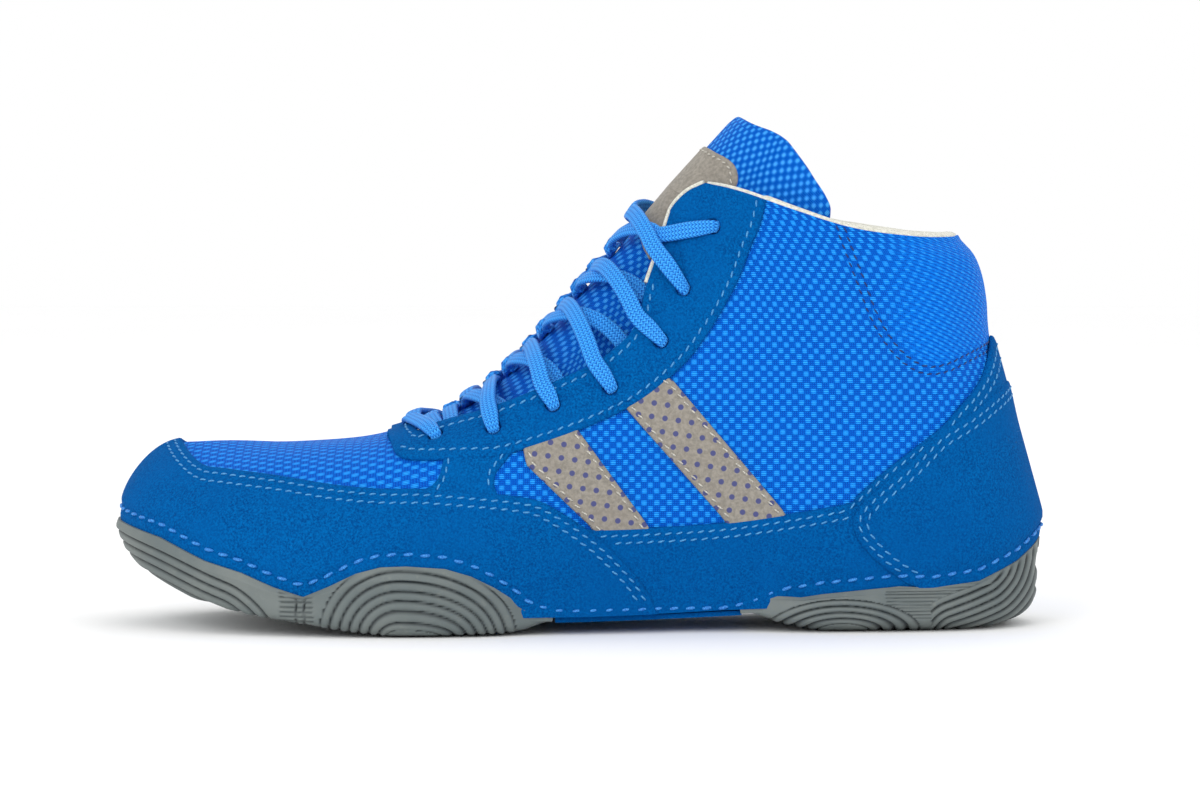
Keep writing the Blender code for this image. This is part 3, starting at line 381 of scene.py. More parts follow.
def surface(side, station, row):
    """Points of the upper's outer face. A row past ROWS is on the tongue, above the collar."""
    station = np.clip(np.asarray(station, float), 0.0, STATIONS)
    row = np.asarray(row, float)
    foot, top, outward = station_ends(side, station)
    share = station / STATIONS
    front = SHAFT_STATIONS / STATIONS
    ridge = smooth((share - front + RIDGE_BLEND) / RIDGE_BLEND)
    toe = smooth((share - TOE_START) / (1 - TOE_START))
    heel = smooth(1 - share / HEEL_REACH)
    height = np.clip(row / ROWS, 0.0, 1.0)
    angle = height * math.pi / 2
    rise = (1 - ridge) * height + ridge * np.sin(angle) ** (RISE_POWER + RISE_POWER_TOE * toe)
    inwards = 1 - np.maximum(np.cos(angle), 0) ** (INWARD_POWER + INWARD_POWER_TOE * toe)
    run = (1 - ridge) * height + ridge * inwards
    level = smooth((share - LEVEL_RIDGE[0]) / LEVEL_RIDGE[1])
    forward = rise * (1 - level) + run * level
    point = foot + (top - foot) * np.stack([forward, run, rise], -1)
    lobe = height / BULGE_ROW * np.exp(1 - height / BULGE_ROW)
    bulge = (SIDE_BULGE + (TOE_BULGE - SIDE_BULGE) * toe) * lobe
    heel_bulge = HEEL_BULGE * smooth(height / HEEL_BULGE_START) * (1 - HEEL_BULGE_FADE * height)
    point = point + outward * (bulge * (1 - heel) + heel_bulge * heel)[..., None]
    reach = np.maximum(row - ROWS, 0)[..., None] / TONGUE_ROWS
    back = smooth((SHAFT_STATIONS - station) / TONGUE_BACK_STATIONS)[..., None]
    return point + reach * (TONGUE_RISE_FRONT + (TONGUE_RISE_BACK - TONGUE_RISE_FRONT) * back)


class Patch:
    """Triangles over a table of points: place, normal, cloth coordinates and side."""

    def __init__(self, table, triangles):
        self.table = table
        self.triangles = triangles

    @property
    def points(self):
        return self.table[:, POINT]

    @property
    def normals(self):
        return unit(self.table[:, NORMAL])

    def cleaned(self):
        """Without the points that no triangle uses."""
        used, triangles = np.unique(self.triangles, return_inverse=True)
        return Patch(self.table[used], triangles.reshape(-1, 3))


def skin(sides=BOTH, stations=(0, STATIONS), rows=(0, ROWS), fine=(7, 9)):
    """The surface as a fine patch between these stations and rows."""
    along = np.linspace(*stations, int((stations[1] - stations[0]) * fine[0]) + 1)
    up = np.linspace(*rows, int((rows[1] - rows[0]) * fine[1]) + 1)
    grids = []
    for side in sides:
        s, r = np.meshgrid(along, up, indexing="ij")
        point = surface(side, s, r)
        if stations[0] == 0:
            point[0, :, 1] = 0.0
        u, middle = distances(point[..., :2]), len(along) // 2
        u = point[middle, :, 0] - (u - u[middle])
        v = point[:, 0, 2][:, None] + distances(point[..., 1:], 1)
        grids.append((side, point, u, v))
    table, number, faces = [], {}, []
    for side, point, u, v in grids:
        ids = np.empty(point.shape[:2], int)
        for i, s in enumerate(along):
            for j, r in enumerate(up):
                joined = len(sides) > 1 and (s in (0, STATIONS) or (r == ROWS and s >= SHAFT_STATIONS)
                                             or (r > ROWS and s == SHAFT_STATIONS))
                key = (0 if joined else side, i, j)
                if key not in number:
                    number[key] = len(table)
                    table.append([*point[i, j], 0, 0, 0, u[i, j], v[i, j], side])
                ids[i, j] = number[key]
        a, b, c, d = ids[:-1, :-1], ids[1:, :-1], ids[1:, 1:], ids[:-1, 1:]
        quads = np.stack([a, b, c, d], -1)
        # The rows above the collar are only on the shaft.
        real = (along[:-1, None] < SHAFT_STATIONS - 1e-6) | (up[None, :-1] < ROWS - 1e-6)
        quads = quads[real]
        if side == LATERAL:
            quads = quads[:, ::-1]
        faces.append(quads)
    table, faces = np.array(table), np.concatenate(faces)
    corners = table[faces][:, :, POINT]
    square = np.cross(corners[:, 2] - corners[:, 0], corners[:, 3] - corners[:, 1])
    for corner in range(4):
        np.add.at(table[:, NORMAL], faces[:, corner], square)
    table[:, NORMAL] /= np.maximum(np.linalg.norm(table[:, NORMAL], axis=1), 1e-9)[:, None]
    triangles = np.concatenate([faces[:, [0, 1, 2]], faces[:, [0, 2, 3]]])
    distinct = ((triangles[:, 0] != triangles[:, 1]) & (triangles[:, 1] != triangles[:, 2])
                & (triangles[:, 0] != triangles[:, 2]))
    return Patch(table, triangles[distinct])


def split(patch, value, level=0.0):
    """(patch with no triangle across the level, which triangles lie above it)."""
    value = np.where(np.abs(value - level) < LEVEL_SLACK, level + LEVEL_SLACK, value)
    above = value > level
    high = above[patch.triangles]
    crossed = high.any(1) & ~high.all(1)
    rows, made, new, flags = [], {}, [], []
    first = len(patch.table)

    def between(a, b):
        key = (min(a, b), max(a, b))
        if key not in made:
            made[key] = first + len(rows)
            share = (level - value[key[0]]) / (value[key[1]] - value[key[0]])
            rows.append(patch.table[key[0]] + (patch.table[key[1]] - patch.table[key[0]]) * share)
        return made[key]

    for triangle, up in zip(patch.triangles[crossed].tolist(), high[crossed].tolist()):
        lone = up.index(sum(up) == 1)
        a, b, c = triangle[lone:] + triangle[:lone]
        ab, ac = between(a, b), between(a, c)
        new += [(a, ab, ac), (ab, b, c), (ab, c, ac)]
        flags += [up[lone], not up[lone], not up[lone]]
    table = np.concatenate([patch.table, rows]) if rows else patch.table
    kept = patch.triangles[~crossed]
    triangles = np.concatenate([kept, np.array(new, int).reshape(-1, 3)])
    return Patch(table, triangles), np.concatenate([high[~crossed].all(1), np.array(flags, bool)])


def clipped(patch, field, levels=()):
    """The part of a patch where the field is above 0, with rings of points at further levels of it."""
    patch, inside = split(patch, field(patch.table))
    patch = Patch(patch.table, patch.triangles[inside]).cleaned()
    for level in levels:
        patch, _ = split(patch, field(patch.table), level)
    return patch.cleaned()


def nearest(points, line):
    """For each 2-D point: (distance to the line, which of its sides the point is on)."""
    best = np.full(len(points), np.inf)
    square = np.zeros(len(points))
    sign = np.ones(len(points))
    for a, b in zip(line, line[1:]):
        along = b - a
        share = np.clip(((points - a) @ along) / max(along @ along, 1e-12), 0, 1)
        gap = points - a - share[:, None] * along
        distance = np.hypot(gap[:, 0], gap[:, 1])
        turn = along[0] * (points[:, 1] - a[1]) - along[1] * (points[:, 0] - a[0])
        # At a corner that two stretches share, the one that the point is squarer to decides.
        straight = np.abs(turn) / max(np.hypot(*along), 1e-9)
        closer = (distance < best - 1e-6) | ((distance < best + 1e-6) & (straight > square))
        best = np.where(closer, distance, best)
        square = np.where(closer, straight, square)
        sign = np.where(closer, np.sign(turn), sign)
    return best, sign


def inside_of(outline, rounded=False):
    """A field: the distance into a closed side-view outline."""
    run = catmull_rom([*outline, outline[0]], 3) if rounded else np.array([*outline, outline[0]], float)

    def field(table):
        points = table[:, [0, 2]]
        distance, _ = nearest(points, run)
        odd = np.zeros(len(points), bool)
        for a, b in zip(run, run[1:]):
            spans = (a[1] > points[:, 1]) != (b[1] > points[:, 1])
            with np.errstate(divide="ignore", invalid="ignore"):
                at = a[0] + (points[:, 1] - a[1]) * (b[0] - a[0]) / (b[1] - a[1])
            odd ^= spans & (points[:, 0] < at)
        return np.where(odd, distance, -distance)

    return field


def left_of(line):
    """A field: the distance to the left of a smooth side-view line, as one walks along it."""
    run = catmull_rom(line, 4)

    def field(table):
        distance, sign = nearest(table[:, [0, 2]], run)
        return distance * sign

    return field


def outside(field):
    return lambda table: -field(table)


def right_of(line):
    return outside(left_of(line))


def inset(field, depth):
    """A field whose edge lies this far inside another's."""
    return lambda table: field(table) - depth


def both(*fields):
    return lambda table: np.min([field(table) for field in fields], axis=0)


def beyond(column, least, sign=1):
    """A field: how far the table's column (0 for x, 2 for z) is past a value."""
    return lambda table: (table[:, column] - least) * sign


def contours(patch, value, level):
    """Chains of table rows where the value passes the level."""
    value = np.where(np.abs(value - level) < LEVEL_SLACK, level + LEVEL_SLACK, value)
    above = value > level
    high = above[patch.triangles]
    crossed = high.any(1) & ~high.all(1)
    links = {}
    for a, b, c in patch.triangles[crossed].tolist():
        ends = [(min(p, q), max(p, q)) for p, q in ((a, b), (b, c), (c, a)) if above[p] != above[q]]
        for here, there in (ends, ends[::-1]):
            links.setdefault(here, []).append(there)
    chains, used = [], set()
    for start in [key for key in links if len(links[key]) == 1] + list(links):
        if start in used:
            continue
        chain = [start]
        used.add(start)
        while True:
            onward = [key for key in links[chain[-1]] if key not in used]
            if not onward:
                break
            chain.append(onward[0])
            used.add(onward[0])
        rows = []
        for a, b in chain:
            share = (level - value[a]) / (value[b] - value[a])
            rows.append(patch.table[a] + (patch.table[b] - patch.table[a]) * share)
        if len(rows) > 2:
            chains.append(np.array(rows))
    return chains


def resampled(rows, pitch, start=0.0):
    """Table rows at an even pitch along a chain."""
    lengths = distances(rows[:, POINT])
    return between_rows(np.arange(start, lengths[-1], pitch), lengths, rows)


def lay_cloth(mesh, uv):
    """Gives a mesh cloth coordinates, one pair for each of its points."""
    corners = np.empty(len(mesh.loops), np.int32)
    mesh.loops.foreach_get("vertex_index", corners)
    layer = mesh.uv_layers.get("cloth") or mesh.uv_layers.new(name="cloth")
    layer.data.foreach_set("uv", np.asarray(uv, np.float32)[corners].ravel())


def new_mesh(name, points, faces, material, uv=None, marks=None, body="boot", slot=None, sharp=40):
    """A finished piece: its mesh in metres, cloth coordinates, point attributes, material and body."""
    mesh = bpy.data.meshes.new(name)
    faces = [list(map(int, face)) for face in faces]
    mesh.from_pydata(((np.asarray(points) - CENTRE) * MM).tolist(), [], faces)
    if uv is not None:
        lay_cloth(mesh, uv)
    for mark, values in (marks or {}).items():
        attribute = mesh.attributes.new(mark, "FLOAT", "POINT")
        attribute.data.foreach_set("value", np.asarray(values, np.float32))
    piece = bpy.data.objects.new(name, mesh)
    bpy.context.scene.collection.objects.link(piece)
    mesh.materials.append(material)
    mesh.shade_smooth()
    if sharp:
        mesh.set_sharp_from_angle(angle=math.radians(sharp))
    if body:
        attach(piece, body)
    return piece


def closed(patch, outer, inner):
    """(points, faces, how each point maps to the patch) of the solid between two offsets of a patch."""
    count = len(patch.table)
    normals = patch.normals
    points = np.concatenate([patch.points + normals * np.reshape(outer, (-1, 1)),
                             patch.points + normals * np.reshape(inner, (-1, 1))])
    triangles = patch.triangles
    faces = [triangles, triangles[:, ::-1] + count]
    edges = np.concatenate([triangles[:, [0, 1]], triangles[:, [1, 2]], triangles[:, [2, 0]]])
    keys = np.sort(edges, axis=1)
    _, index, counts = np.unique(keys, axis=0, return_inverse=True, return_counts=True)
    rim = edges[counts[index.reshape(-1)] == 1]
    faces.append(np.concatenate([np.stack([rim[:, 1], rim[:, 0], rim[:, 0] + count], -1),
                                 np.stack([rim[:, 1], rim[:, 0] + count, rim[:, 1] + count], -1)]))
    return points, np.concatenate(faces), np.concatenate([np.arange(count)] * 2)


def circle(corners):
    """The angles of a ring's corners."""
    return [2 * math.pi * corner / corners for corner in range(corners)]


def ring_faces(first, rings, corners):
    """The faces of a closed tube, whose points from the first on are rings of corners."""
    faces = []
    for ring in range(rings - 1):
        for corner in range(corners):
            a = first + ring * corners + corner
            b = first + ring * corners + (corner + 1) % corners
            faces.append((a, b, b + corners, a + corners))
    last = first + (rings - 1) * corners
    return [*faces, tuple(range(first + corners - 1, first - 1, -1)), tuple(range(last, last + corners))]


def rounded_rim(depth, radius):
    """How full the thickness is at this depth in from the edge: 0.3 at the edge, 1 past the radius."""
    near = 1 - np.clip(depth / radius, 0, 1)
    return 0.3 + 0.7 * np.sqrt(1 - near**2)


def panel(name, nodes, material, slot, base, field, outer, inner, rim=SUEDE_RIM, body="boot", marks=None,
          levels=None):
    """A panel of the upper, cut out by a field. Its offsets are numbers or functions of the table."""
    patch = clipped(base, field, levels or (0.1 * rim, 0.35 * rim, rim))
    depth = field(patch.table)
    top, low = (of(patch.table) if callable(of) else np.full(len(depth), float(of)) for of in (outer, inner))
    top = low + (top - low) * rounded_rim(depth, rim)
    points, faces, source = closed(patch, top, low)
    values = {mark: of(patch.table)[source] for mark, of in (marks or {}).items()}
    piece = new_mesh(name, points, faces, material, patch.table[source][:, UV], values, body, slot)
    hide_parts(nodes)
    return piece


def stitches(name, chains, material, out, length=2.2, radius=0.3, tilt=0.22, body="boot"):
    """Sewn thread: one short rounded bar at each table row, along the chain it belongs to."""
    points, faces = [], []
    for chain in chains:
        centres, normals = chain[:, POINT], unit(chain[:, NORMAL])
        along = directions(centres)
        across = unit(np.cross(normals, along))
        heights = out(chain) if callable(out) else np.full(len(chain), float(out))
        for centre, normal, forward, square, high in zip(centres, normals, along, across, heights):
            turned = forward * math.cos(tilt) + square * math.sin(tilt)
            square = square * math.cos(tilt) - forward * math.sin(tilt)
            faces += ring_faces(len(points), len(STITCH_RINGS), THREAD_SIDES)
            for reach, size, lift in STITCH_RINGS:
                middle = centre + turned * reach * length + normal * (high + lift * radius)
                for angle in circle(THREAD_SIDES):
                    spoke = math.cos(angle) * square + math.sin(angle) * normal
                    points.append(middle + radius * size * spoke)
    return new_mesh(name, points, faces, material, slot="lace", sharp=0, body=body)


def sewn(base, field, level, keep, pitch):
    """Evenly spaced table rows where a field has this level, kept where another field is above 0."""
    rows = []
    for chain in contours(base, field(base.table), level):
        chain = resampled(chain, pitch, pitch / 2)
        kept = keep(chain) > 0
        starts = np.flatnonzero(np.diff(np.concatenate([[0], kept.astype(int), [0]])))
        rows += [chain[a:b] for a, b in zip(starts[::2], starts[1::2]) if b - a > 2]
    return rows


def linear(srgb):
    """A colour given as 0 to 255 sRGB, as a shader's linear colour."""
    values = np.array(srgb) / 255
    values = np.where(values <= 0.04045, values / 12.92, ((values + 0.055) / 1.055) ** 2.4)
    return (*values.tolist(), 1.0)


class Signal:
    """A number that a node gives out. Arithmetic on signals adds math nodes."""

    def __init__(self, shader, socket):
        self.shader = shader
        self.socket = socket

    def apply(self, operation, *others):
        return self.shader.math(operation, self, *others)

    def __add__(self, other):
        return self.apply("ADD", other)

    def __sub__(self, other):
        return self.apply("SUBTRACT", other)

    def __rsub__(self, other):
        return self.shader.math("SUBTRACT", other, self)

    def __mul__(self, other):
        return self.apply("MULTIPLY", other)

    def __truediv__(self, other):
        return self.apply("DIVIDE", other)

    def floor(self):
        return self.apply("FLOOR")

    def fraction(self):
        return self.apply("FRACT")

    def wave(self, count=1):
        """0 at both ends of a unit and 1 in its middle, this many times over."""
        return (self * (math.pi * count)).apply("SINE").apply("ABSOLUTE")

    def spread(self, low, high):
        """A 0 to 1 share of where the number lies between two others."""
        node = self.shader.node("ShaderNodeMapRange", interpolation_type="SMOOTHSTEP")
        self.shader.link(self, node.inputs[0])
        node.inputs[1].default_value = low
        node.inputs[2].default_value = high
        return Signal(self.shader, node.outputs[0])


class Shader:
    """A Principled material and the nodes that feed it. Colours are 0 to 255 sRGB."""

    def __init__(self, name, roughness, specular=0.4, sheen=0.0, sheen_tint=(255, 255, 255), coat=0.0):
        self.material = bpy.data.materials.new(name)
        self.material.use_nodes = True
        self.tree = self.material.node_tree
        self.inputs = self.tree.nodes["Principled BSDF"].inputs
        settings = {"Roughness": roughness, "Specular IOR Level": specular, "Sheen Weight": sheen,
                    "Sheen Roughness": 0.5, "Sheen Tint": linear(sheen_tint), "Coat Weight": coat}
        for setting, value in settings.items():
            self.inputs[setting].default_value = value

    def node(self, kind, **values):
        node = self.tree.nodes.new(kind)
        for name, value in values.items():
            setattr(node, name, value)
        return node

    def link(self, source, target):
        if isinstance(source, Signal):
            self.tree.links.new(source.socket, target)
        else:
            target.default_value = source

    def math(self, operation, *values):
        node = self.node("ShaderNodeMath", operation=operation)
        for value, socket in zip(values, node.inputs):
            self.link(value, socket)
        return Signal(self, node.outputs[0])

    def mix(self, share, low, high):
        node = self.node("ShaderNodeMix", data_type="RGBA")
        self.link(share, node.inputs[0])
        for colour, socket in ((low, node.inputs[6]), (high, node.inputs[7])):
            self.link(linear(colour) if isinstance(colour, tuple) else colour, socket)
        return Signal(self, node.outputs[2])

    def ramp(self, value, stops, colours):
        """A colour that runs through three colours while the value passes three stops."""
        start = self.mix(value.spread(*stops[:2]), *colours[:2])
        return self.mix(value.spread(*stops[1:]), start, colours[2])

    def noise(self, scale, detail=2.0, rough=0.5):
        place = self.node("ShaderNodeTexCoord").outputs["Object"]
        node = self.node("ShaderNodeTexNoise")
        self.link(Signal(self, place), node.inputs["Vector"])
        for setting, value in {"Scale": scale, "Detail": detail, "Roughness": rough}.items():
            node.inputs[setting].default_value = value
        return Signal(self, node.outputs[0])

    def mark(self, name):
        return Signal(self, self.node("ShaderNodeAttribute", attribute_name=name).outputs["Fac"])

    def cloth(self):
        """The cloth coordinates, in millimetres."""
        parts = self.node("ShaderNodeSeparateXYZ")
        self.link(Signal(self, self.node("ShaderNodeUVMap", uv_map="cloth").outputs[0]), parts.inputs[0])
        return Signal(self, parts.outputs[0]), Signal(self, parts.outputs[1])

    def finish(self, colour, height=None, relief=0.0):
        """The material with this colour, and a bump this many millimetres high."""
        self.link(colour, self.inputs["Base Color"])
        if height:
            node = self.node("ShaderNodeBump")
            node.inputs["Strength"].default_value = 1.0
            node.inputs["Distance"].default_value = relief * MM
            self.link(height, node.inputs["Height"])
            self.link(Signal(self, node.outputs[0]), self.inputs["Normal"])
        return self.material


def suede_material():
    """Napped split leather: fine grain, soft patches where the nap lies another way, a blue bloom."""
    shader = Shader("suede", 0.95, 0.04, sheen=0.04, sheen_tint=SUEDE_BLOOM)
    grain, nap, worn = shader.noise(1500, 3.0, 0.7), shader.noise(70, 3.0, 0.6), shader.noise(14, 2.0)
    colour = shader.mix(grain.spread(0.3, 0.7), SUEDE_DARK, SUEDE_LIGHT)
    colour = shader.mix(nap.spread(0.35, 0.7) * 0.5, colour, SUEDE_NAP)
    colour = shader.mix(worn.spread(0.35, 0.75) * 0.35, colour, SUEDE_WORN)
    return shader.finish(colour, grain * 0.9 + nap * 0.2, 0.25)


def weave_material(name, tile=MESH_TILE, blues=MESH_BLUES_SHADE_TO_HIGHLIGHT, turned=False):
    """Spacer mesh: a chequer of raised tiles of three floated threads, and sunk tiles of fine net. Its colour
    follows the height: painted shade low in the net, painted highlight on the threads' crowns.
    """
    shader = Shader(name, 0.62, 0.06)
    u, v = shader.cloth()
    if turned:
        u, v = (u + v) * DIAGONAL, (u - v) * DIAGONAL
    u += (shader.noise(160, 2.0) - 0.5) * 0.9
    v += (shader.noise(35, 1.0) - 0.5) * 0.8
    across, up = u / tile[0], v / tile[1]
    parity = (across.floor() + up.floor()).apply("FLOORED_MODULO", 2.0)
    across, up = across.fraction(), up.fraction()
    pillow = (across.wave() * up.wave()).apply("POWER", 0.22)
    raised = parity * pillow * (up.wave(3) * 0.55 + 0.45)
    sunk = (1.0 - parity) * (across.wave(3) * up.wave(3)) * 0.5
    tiles = raised + sunk
    pulled = ((v + u * 0.45) / 1.3).wave() * 0.62 + tiles * 0.25
    share = shader.mark("stretch")
    height = tiles * (1.0 - share) + pulled * share
    # The ramp paints shade where the weave is low and highlight where it is high.
    return shader.finish(shader.ramp(height, (0.05, 0.55, 1.0), blues), height, 0.3)


def lining_material():
    """Brushed knit."""
    shader = Shader("lining", 0.95, 0.1, sheen=0.3)
    fluff, worn = shader.noise(1100, 3.0, 0.7), shader.noise(40, 2.0)
    colour = shader.mix(fluff.spread(0.25, 0.75), LINING_DARK, LINING_LIGHT)
    return shader.finish(shader.mix(worn.spread(0.4, 0.8) * 0.3, colour, LINING_WORN), fluff, 0.4)


def patch_material(name, dotted):
    """Matte grey synthetic, with staggered navy dots on the stripes."""
    shader = Shader(name, 0.7, 0.3, sheen=0.1)
    grain, worn = shader.noise(900, 3.0, 0.6), shader.noise(90, 3.0)
    colour = shader.mix(grain.spread(0.3, 0.7), GREY_DARK, GREY_LIGHT)
    colour = shader.mix(worn.spread(0.4, 0.8) * 0.4, colour, GREY_WORN)
    if dotted:
        u, v = shader.cloth()
        shift = (v / DOT_ROWS).floor().apply("FLOORED_MODULO", 2.0) * 0.5
        x = ((u / DOT_PITCH + shift).fraction() - 0.5) * DOT_PITCH
        y = ((v / DOT_ROWS).fraction() - 0.5) * DOT_ROWS
        away = (x * x + y * y).apply("SQRT")
        colour = shader.mix(away.spread(0.95, 0.72), colour, DOT_NAVY)
    return shader.finish(colour, grain, 0.12)


def rubber_material():
    """Matte moulded rubber, dusty, and darkened in its grooves by dirt and painted shade."""
    shader = Shader("rubber", 0.6, 0.35)
    dust, cloud = shader.noise(260, 4.0, 0.7), shader.noise(45, 3.0)
    colour = shader.mix(cloud.spread(0.35, 0.7), RUBBER_DARK, RUBBER_LIGHT)
    colour = shader.mix(dust.spread(0.55, 0.8) * 0.35, colour, RUBBER_DUST)
    # The groove mark darkens the recesses: dirt and painted shade.
    return shader.finish(shader.mix(shader.mark("groove"), colour, RUBBER_GROOVE_DIRT_AND_SHADE), dust, 0.06)


def braid_material():
    """Flat braid: a herringbone of fine strands that run to both edges. Its colour follows the height:
    painted shade between the strands, painted highlight on their crowns.
    """
    shader = Shader("lace_braid", 0.6, 0.25, sheen=0.05)
    u, v = shader.cloth()
    column = u / BRAID_COLUMN
    side = (column.fraction() - 0.5).apply("ABSOLUTE")
    height = (v / BRAID_STRAND + side * 1.5).wave() * 0.7 + column.wave() * 0.3
    # The ramp paints shade between the strands and highlight on their crowns.
    return shader.finish(shader.ramp(height, (0.15, 0.6, 0.95), BRAID_BLUES_SHADE_TO_HIGHLIGHT), height, 0.2)


def grained_material(name, roughness, specular, grain, limits, colours, relief, coat=0.0):
    """Two colours mixed by fine noise: thread, foam, board and the aglets' tube."""
    shader = Shader(name, roughness, specular, coat=coat)
    noise = shader.noise(*grain)
    return shader.finish(shader.mix(noise.spread(*limits), *colours), noise, relief)


def build_looks():
    looks = {
        "suede": suede_material(),
        "weave": weave_material("mesh_weave"),
        "vamp": weave_material("vamp_mesh_weave", VAMP_TILE),
        "tongue": weave_material("tongue_weave", blues=TONGUE_BLUES_SHADE_TO_HIGHLIGHT, turned=True),
        "lining": lining_material(),
        "patch": patch_material("grey_patch", False),
        "dotted": patch_material("dotted_stripe", True),
        "rubber": rubber_material(),
        "braid": braid_material(),
        "aglet": grained_material("aglet", 0.25, 0.5, (400, 2.0), (0.3, 0.7), AGLET_BLUES, 0.05, 0.6),
    }
    for name, colours in THREADS.items():
        material_name = "thread" if name == "thread" else f"{name}_thread"
        looks[name] = grained_material(material_name, 0.5, 0.4, (2600, 1.0), (0.35, 0.65), colours, 0.1)
    for look, (name, colours, scale) in FILLERS.items():
        looks[look] = grained_material(name, 0.9, 0.2, (scale, 3.0, 0.6), (0.3, 0.7), colours, 0.2)
    return looks


def line_height(line, x):
    return np.interp(x, *zip(*line))


def throat():
    return inside_of([*catmull_rom(THROAT_LINE, 5).tolist(), *THROAT_TOP])


def padding(table):
    """The filler's thickness between the mesh and the lining."""
    x, z = table[:, 0], table[:, 2]
    collar = smooth((x - COLLAR_PAD_X) / 14) * smooth((z - COLLAR_PAD_Z) / 22)
    near = (x > THROAT_EDGE[0][0] - 2) & (x < EYESTAY_EDGE[-1][0])
    behind = np.where(near, smooth((z - line_height(EYESTAY_EDGE, x)) / EYESTAY_FADE), 0.0)
    return FOAM_THICKNESS * (1 - behind) + COLLAR_PADDING * collar


def lining_out(table):
    return FOAM_OUT - GAP - padding(table)


def lining_in(table):
    return lining_out(table) - LINING_THICKNESS


def foam_in(table):
    return FOAM_OUT - np.maximum(padding(table), 0.2)


def tongue_out(table):
    return -(TONGUE_RIDGE + TONGUE_DROP * smooth(np.abs(table[:, 1]) / TONGUE_HALF_WIDTH))


def collar_stretch(table):
    """How far the mesh is pulled into fine lines, towards the back of the collar pad."""
    inside_pad = smooth((left_of(COLLAR_SEAM)(table) + 3) / 9)
    return STRETCH_MOST * inside_pad * smooth((table[:, 0] - 84) / 22)


def pad_bulge(table):
    """The collar pad swells a little inside its seam."""
    into = left_of(COLLAR_SEAM)(table)
    below_top = line_height(sorted((x, z) for x, _, z in COLLAR), table[:, 0]) - table[:, 2]
    bulge = PAD_BULGE * np.exp(-(((below_top - PAD_BULGE_DROP) / 10) ** 2))
    swell = PAD_SWELL + bulge - PAD_TOP_DIP * np.exp(-((below_top / 4.5) ** 2))
    return swell * smooth(into / PAD_FADE) - PAD_SEAM_DIP * np.exp(-(into / 1.6) ** 2)


def mudguard_outer(table):
    over = smooth((table[:, 0] + 14) / 14) * (left_of(MIDFOOT_TOP)(table) < 2)
    return SKIN_OUT + OVERLAP_LIFT * over - lower_dent(table)


def counter_outer(table):
    depth = right_of(COUNTER_OUTLINE)(table)
    return SKIN_OUT + OVERLAP_LIFT * (1 - 0.6 * smooth(depth / 14)) - lower_dent(table)


def suede_outer(table):
    return SKIN_OUT - lower_dent(table)


def beneath(outer, thickness=SUEDE_THICKNESS):
    """The inner face that lies this far in from an outer face."""
    return lambda table: outer(table) - thickness


def sole_outer(table):
    """The outer face of whichever suede panel a place has along the sole."""
    on_counter = right_of(COUNTER_OUTLINE)(table) > 0
    on_mudguard = (right_of(MUDGUARD_TOP)(table) > 0) & (table[:, 0] < 60)
    below = np.where(on_mudguard, mudguard_outer(table), suede_outer(table))
    return np.where(on_counter, counter_outer(table), below)


def rubber_line(x):
    return np.where(x < 20, line_height(SUEDE_FOOT, x), line_height(SUEDE_HEEL, x))


def above_rubber(table):
    return table[:, 2] - rubber_line(table[:, 0])


def lower_dent(table):
    """The channel that the bold lower stitches pull into the suede, with its puckers."""
    above = above_rubber(table) - DENT_ABOVE_RUBBER
    pucker = 0.5 + 0.5 * np.sin(table[:, UV][:, 0] * 2 * math.pi / PUCKER_PITCH)
    return (0.55 + 0.35 * pucker) * np.exp(-(above / DENT_HALF_WIDTH) ** 2)


def eyelet_holes(side):
    """A field: the distance from the nearest eyelet's hole."""
    centres = [frame(side, *locate(side, *eyelet))[0] for eyelet in EYELETS]

    def field(table):
        away = [np.linalg.norm(table[:, POINT] - centre, axis=1) for centre in centres]
        return np.min(away, axis=0) - EYELET_RADIUS

    return field


@functools.lru_cache(None)
def lookup(side):
    """The stations, rows and points of a grid over one side of the upper."""
    s, r = np.meshgrid(np.linspace(0, STATIONS, 121), np.linspace(0, ROWS, 71), indexing="ij")
    return s.ravel(), r.ravel(), surface(side, s, r).reshape(-1, 3)


def locate(side, x, z):
    """(station, row) of the place of the upper that the side view shows at (x, z)."""
    s, r, points = lookup(side)
    best = np.argmin(np.hypot(points[:, 0] - x, points[:, 2] - z))
    at = np.array([s[best], r[best]])
    step = 0.02
    for _ in range(8):
        here = surface(side, *at)[[0, 2]]
        jacobian = np.stack([(surface(side, at[0] + step, at[1])[[0, 2]] - here) / step,
                             (surface(side, at[0], at[1] - step)[[0, 2]] - here) / -step], -1)
        if abs(np.linalg.det(jacobian)) < 1e-3:
            break
        change = np.linalg.solve(jacobian, np.array([x, z]) - here)
        at = np.clip(at + np.clip(change, -0.15, 0.15), (0, 0), (STATIONS, ROWS))
    return at


def frame(side, station, row):
    """(point, outward normal) of the surface."""
    point = surface(side, station, row)
    if row > ROWS - 0.05 and station >= SHAFT_STATIONS:
        along = surface(side, station + 0.2, ROWS) - surface(side, station, ROWS)
        normal = np.cross(along, (0, 1, 0))
    else:
        row = min(row, ROWS - 0.2)
        along = surface(side, station + 0.2, row) - surface(side, station - 0.2, row)
        up = surface(side, station, row + 0.1) - surface(side, station, row - 0.1)
        normal = np.cross(along, up) * side
    return point, unit(normal)


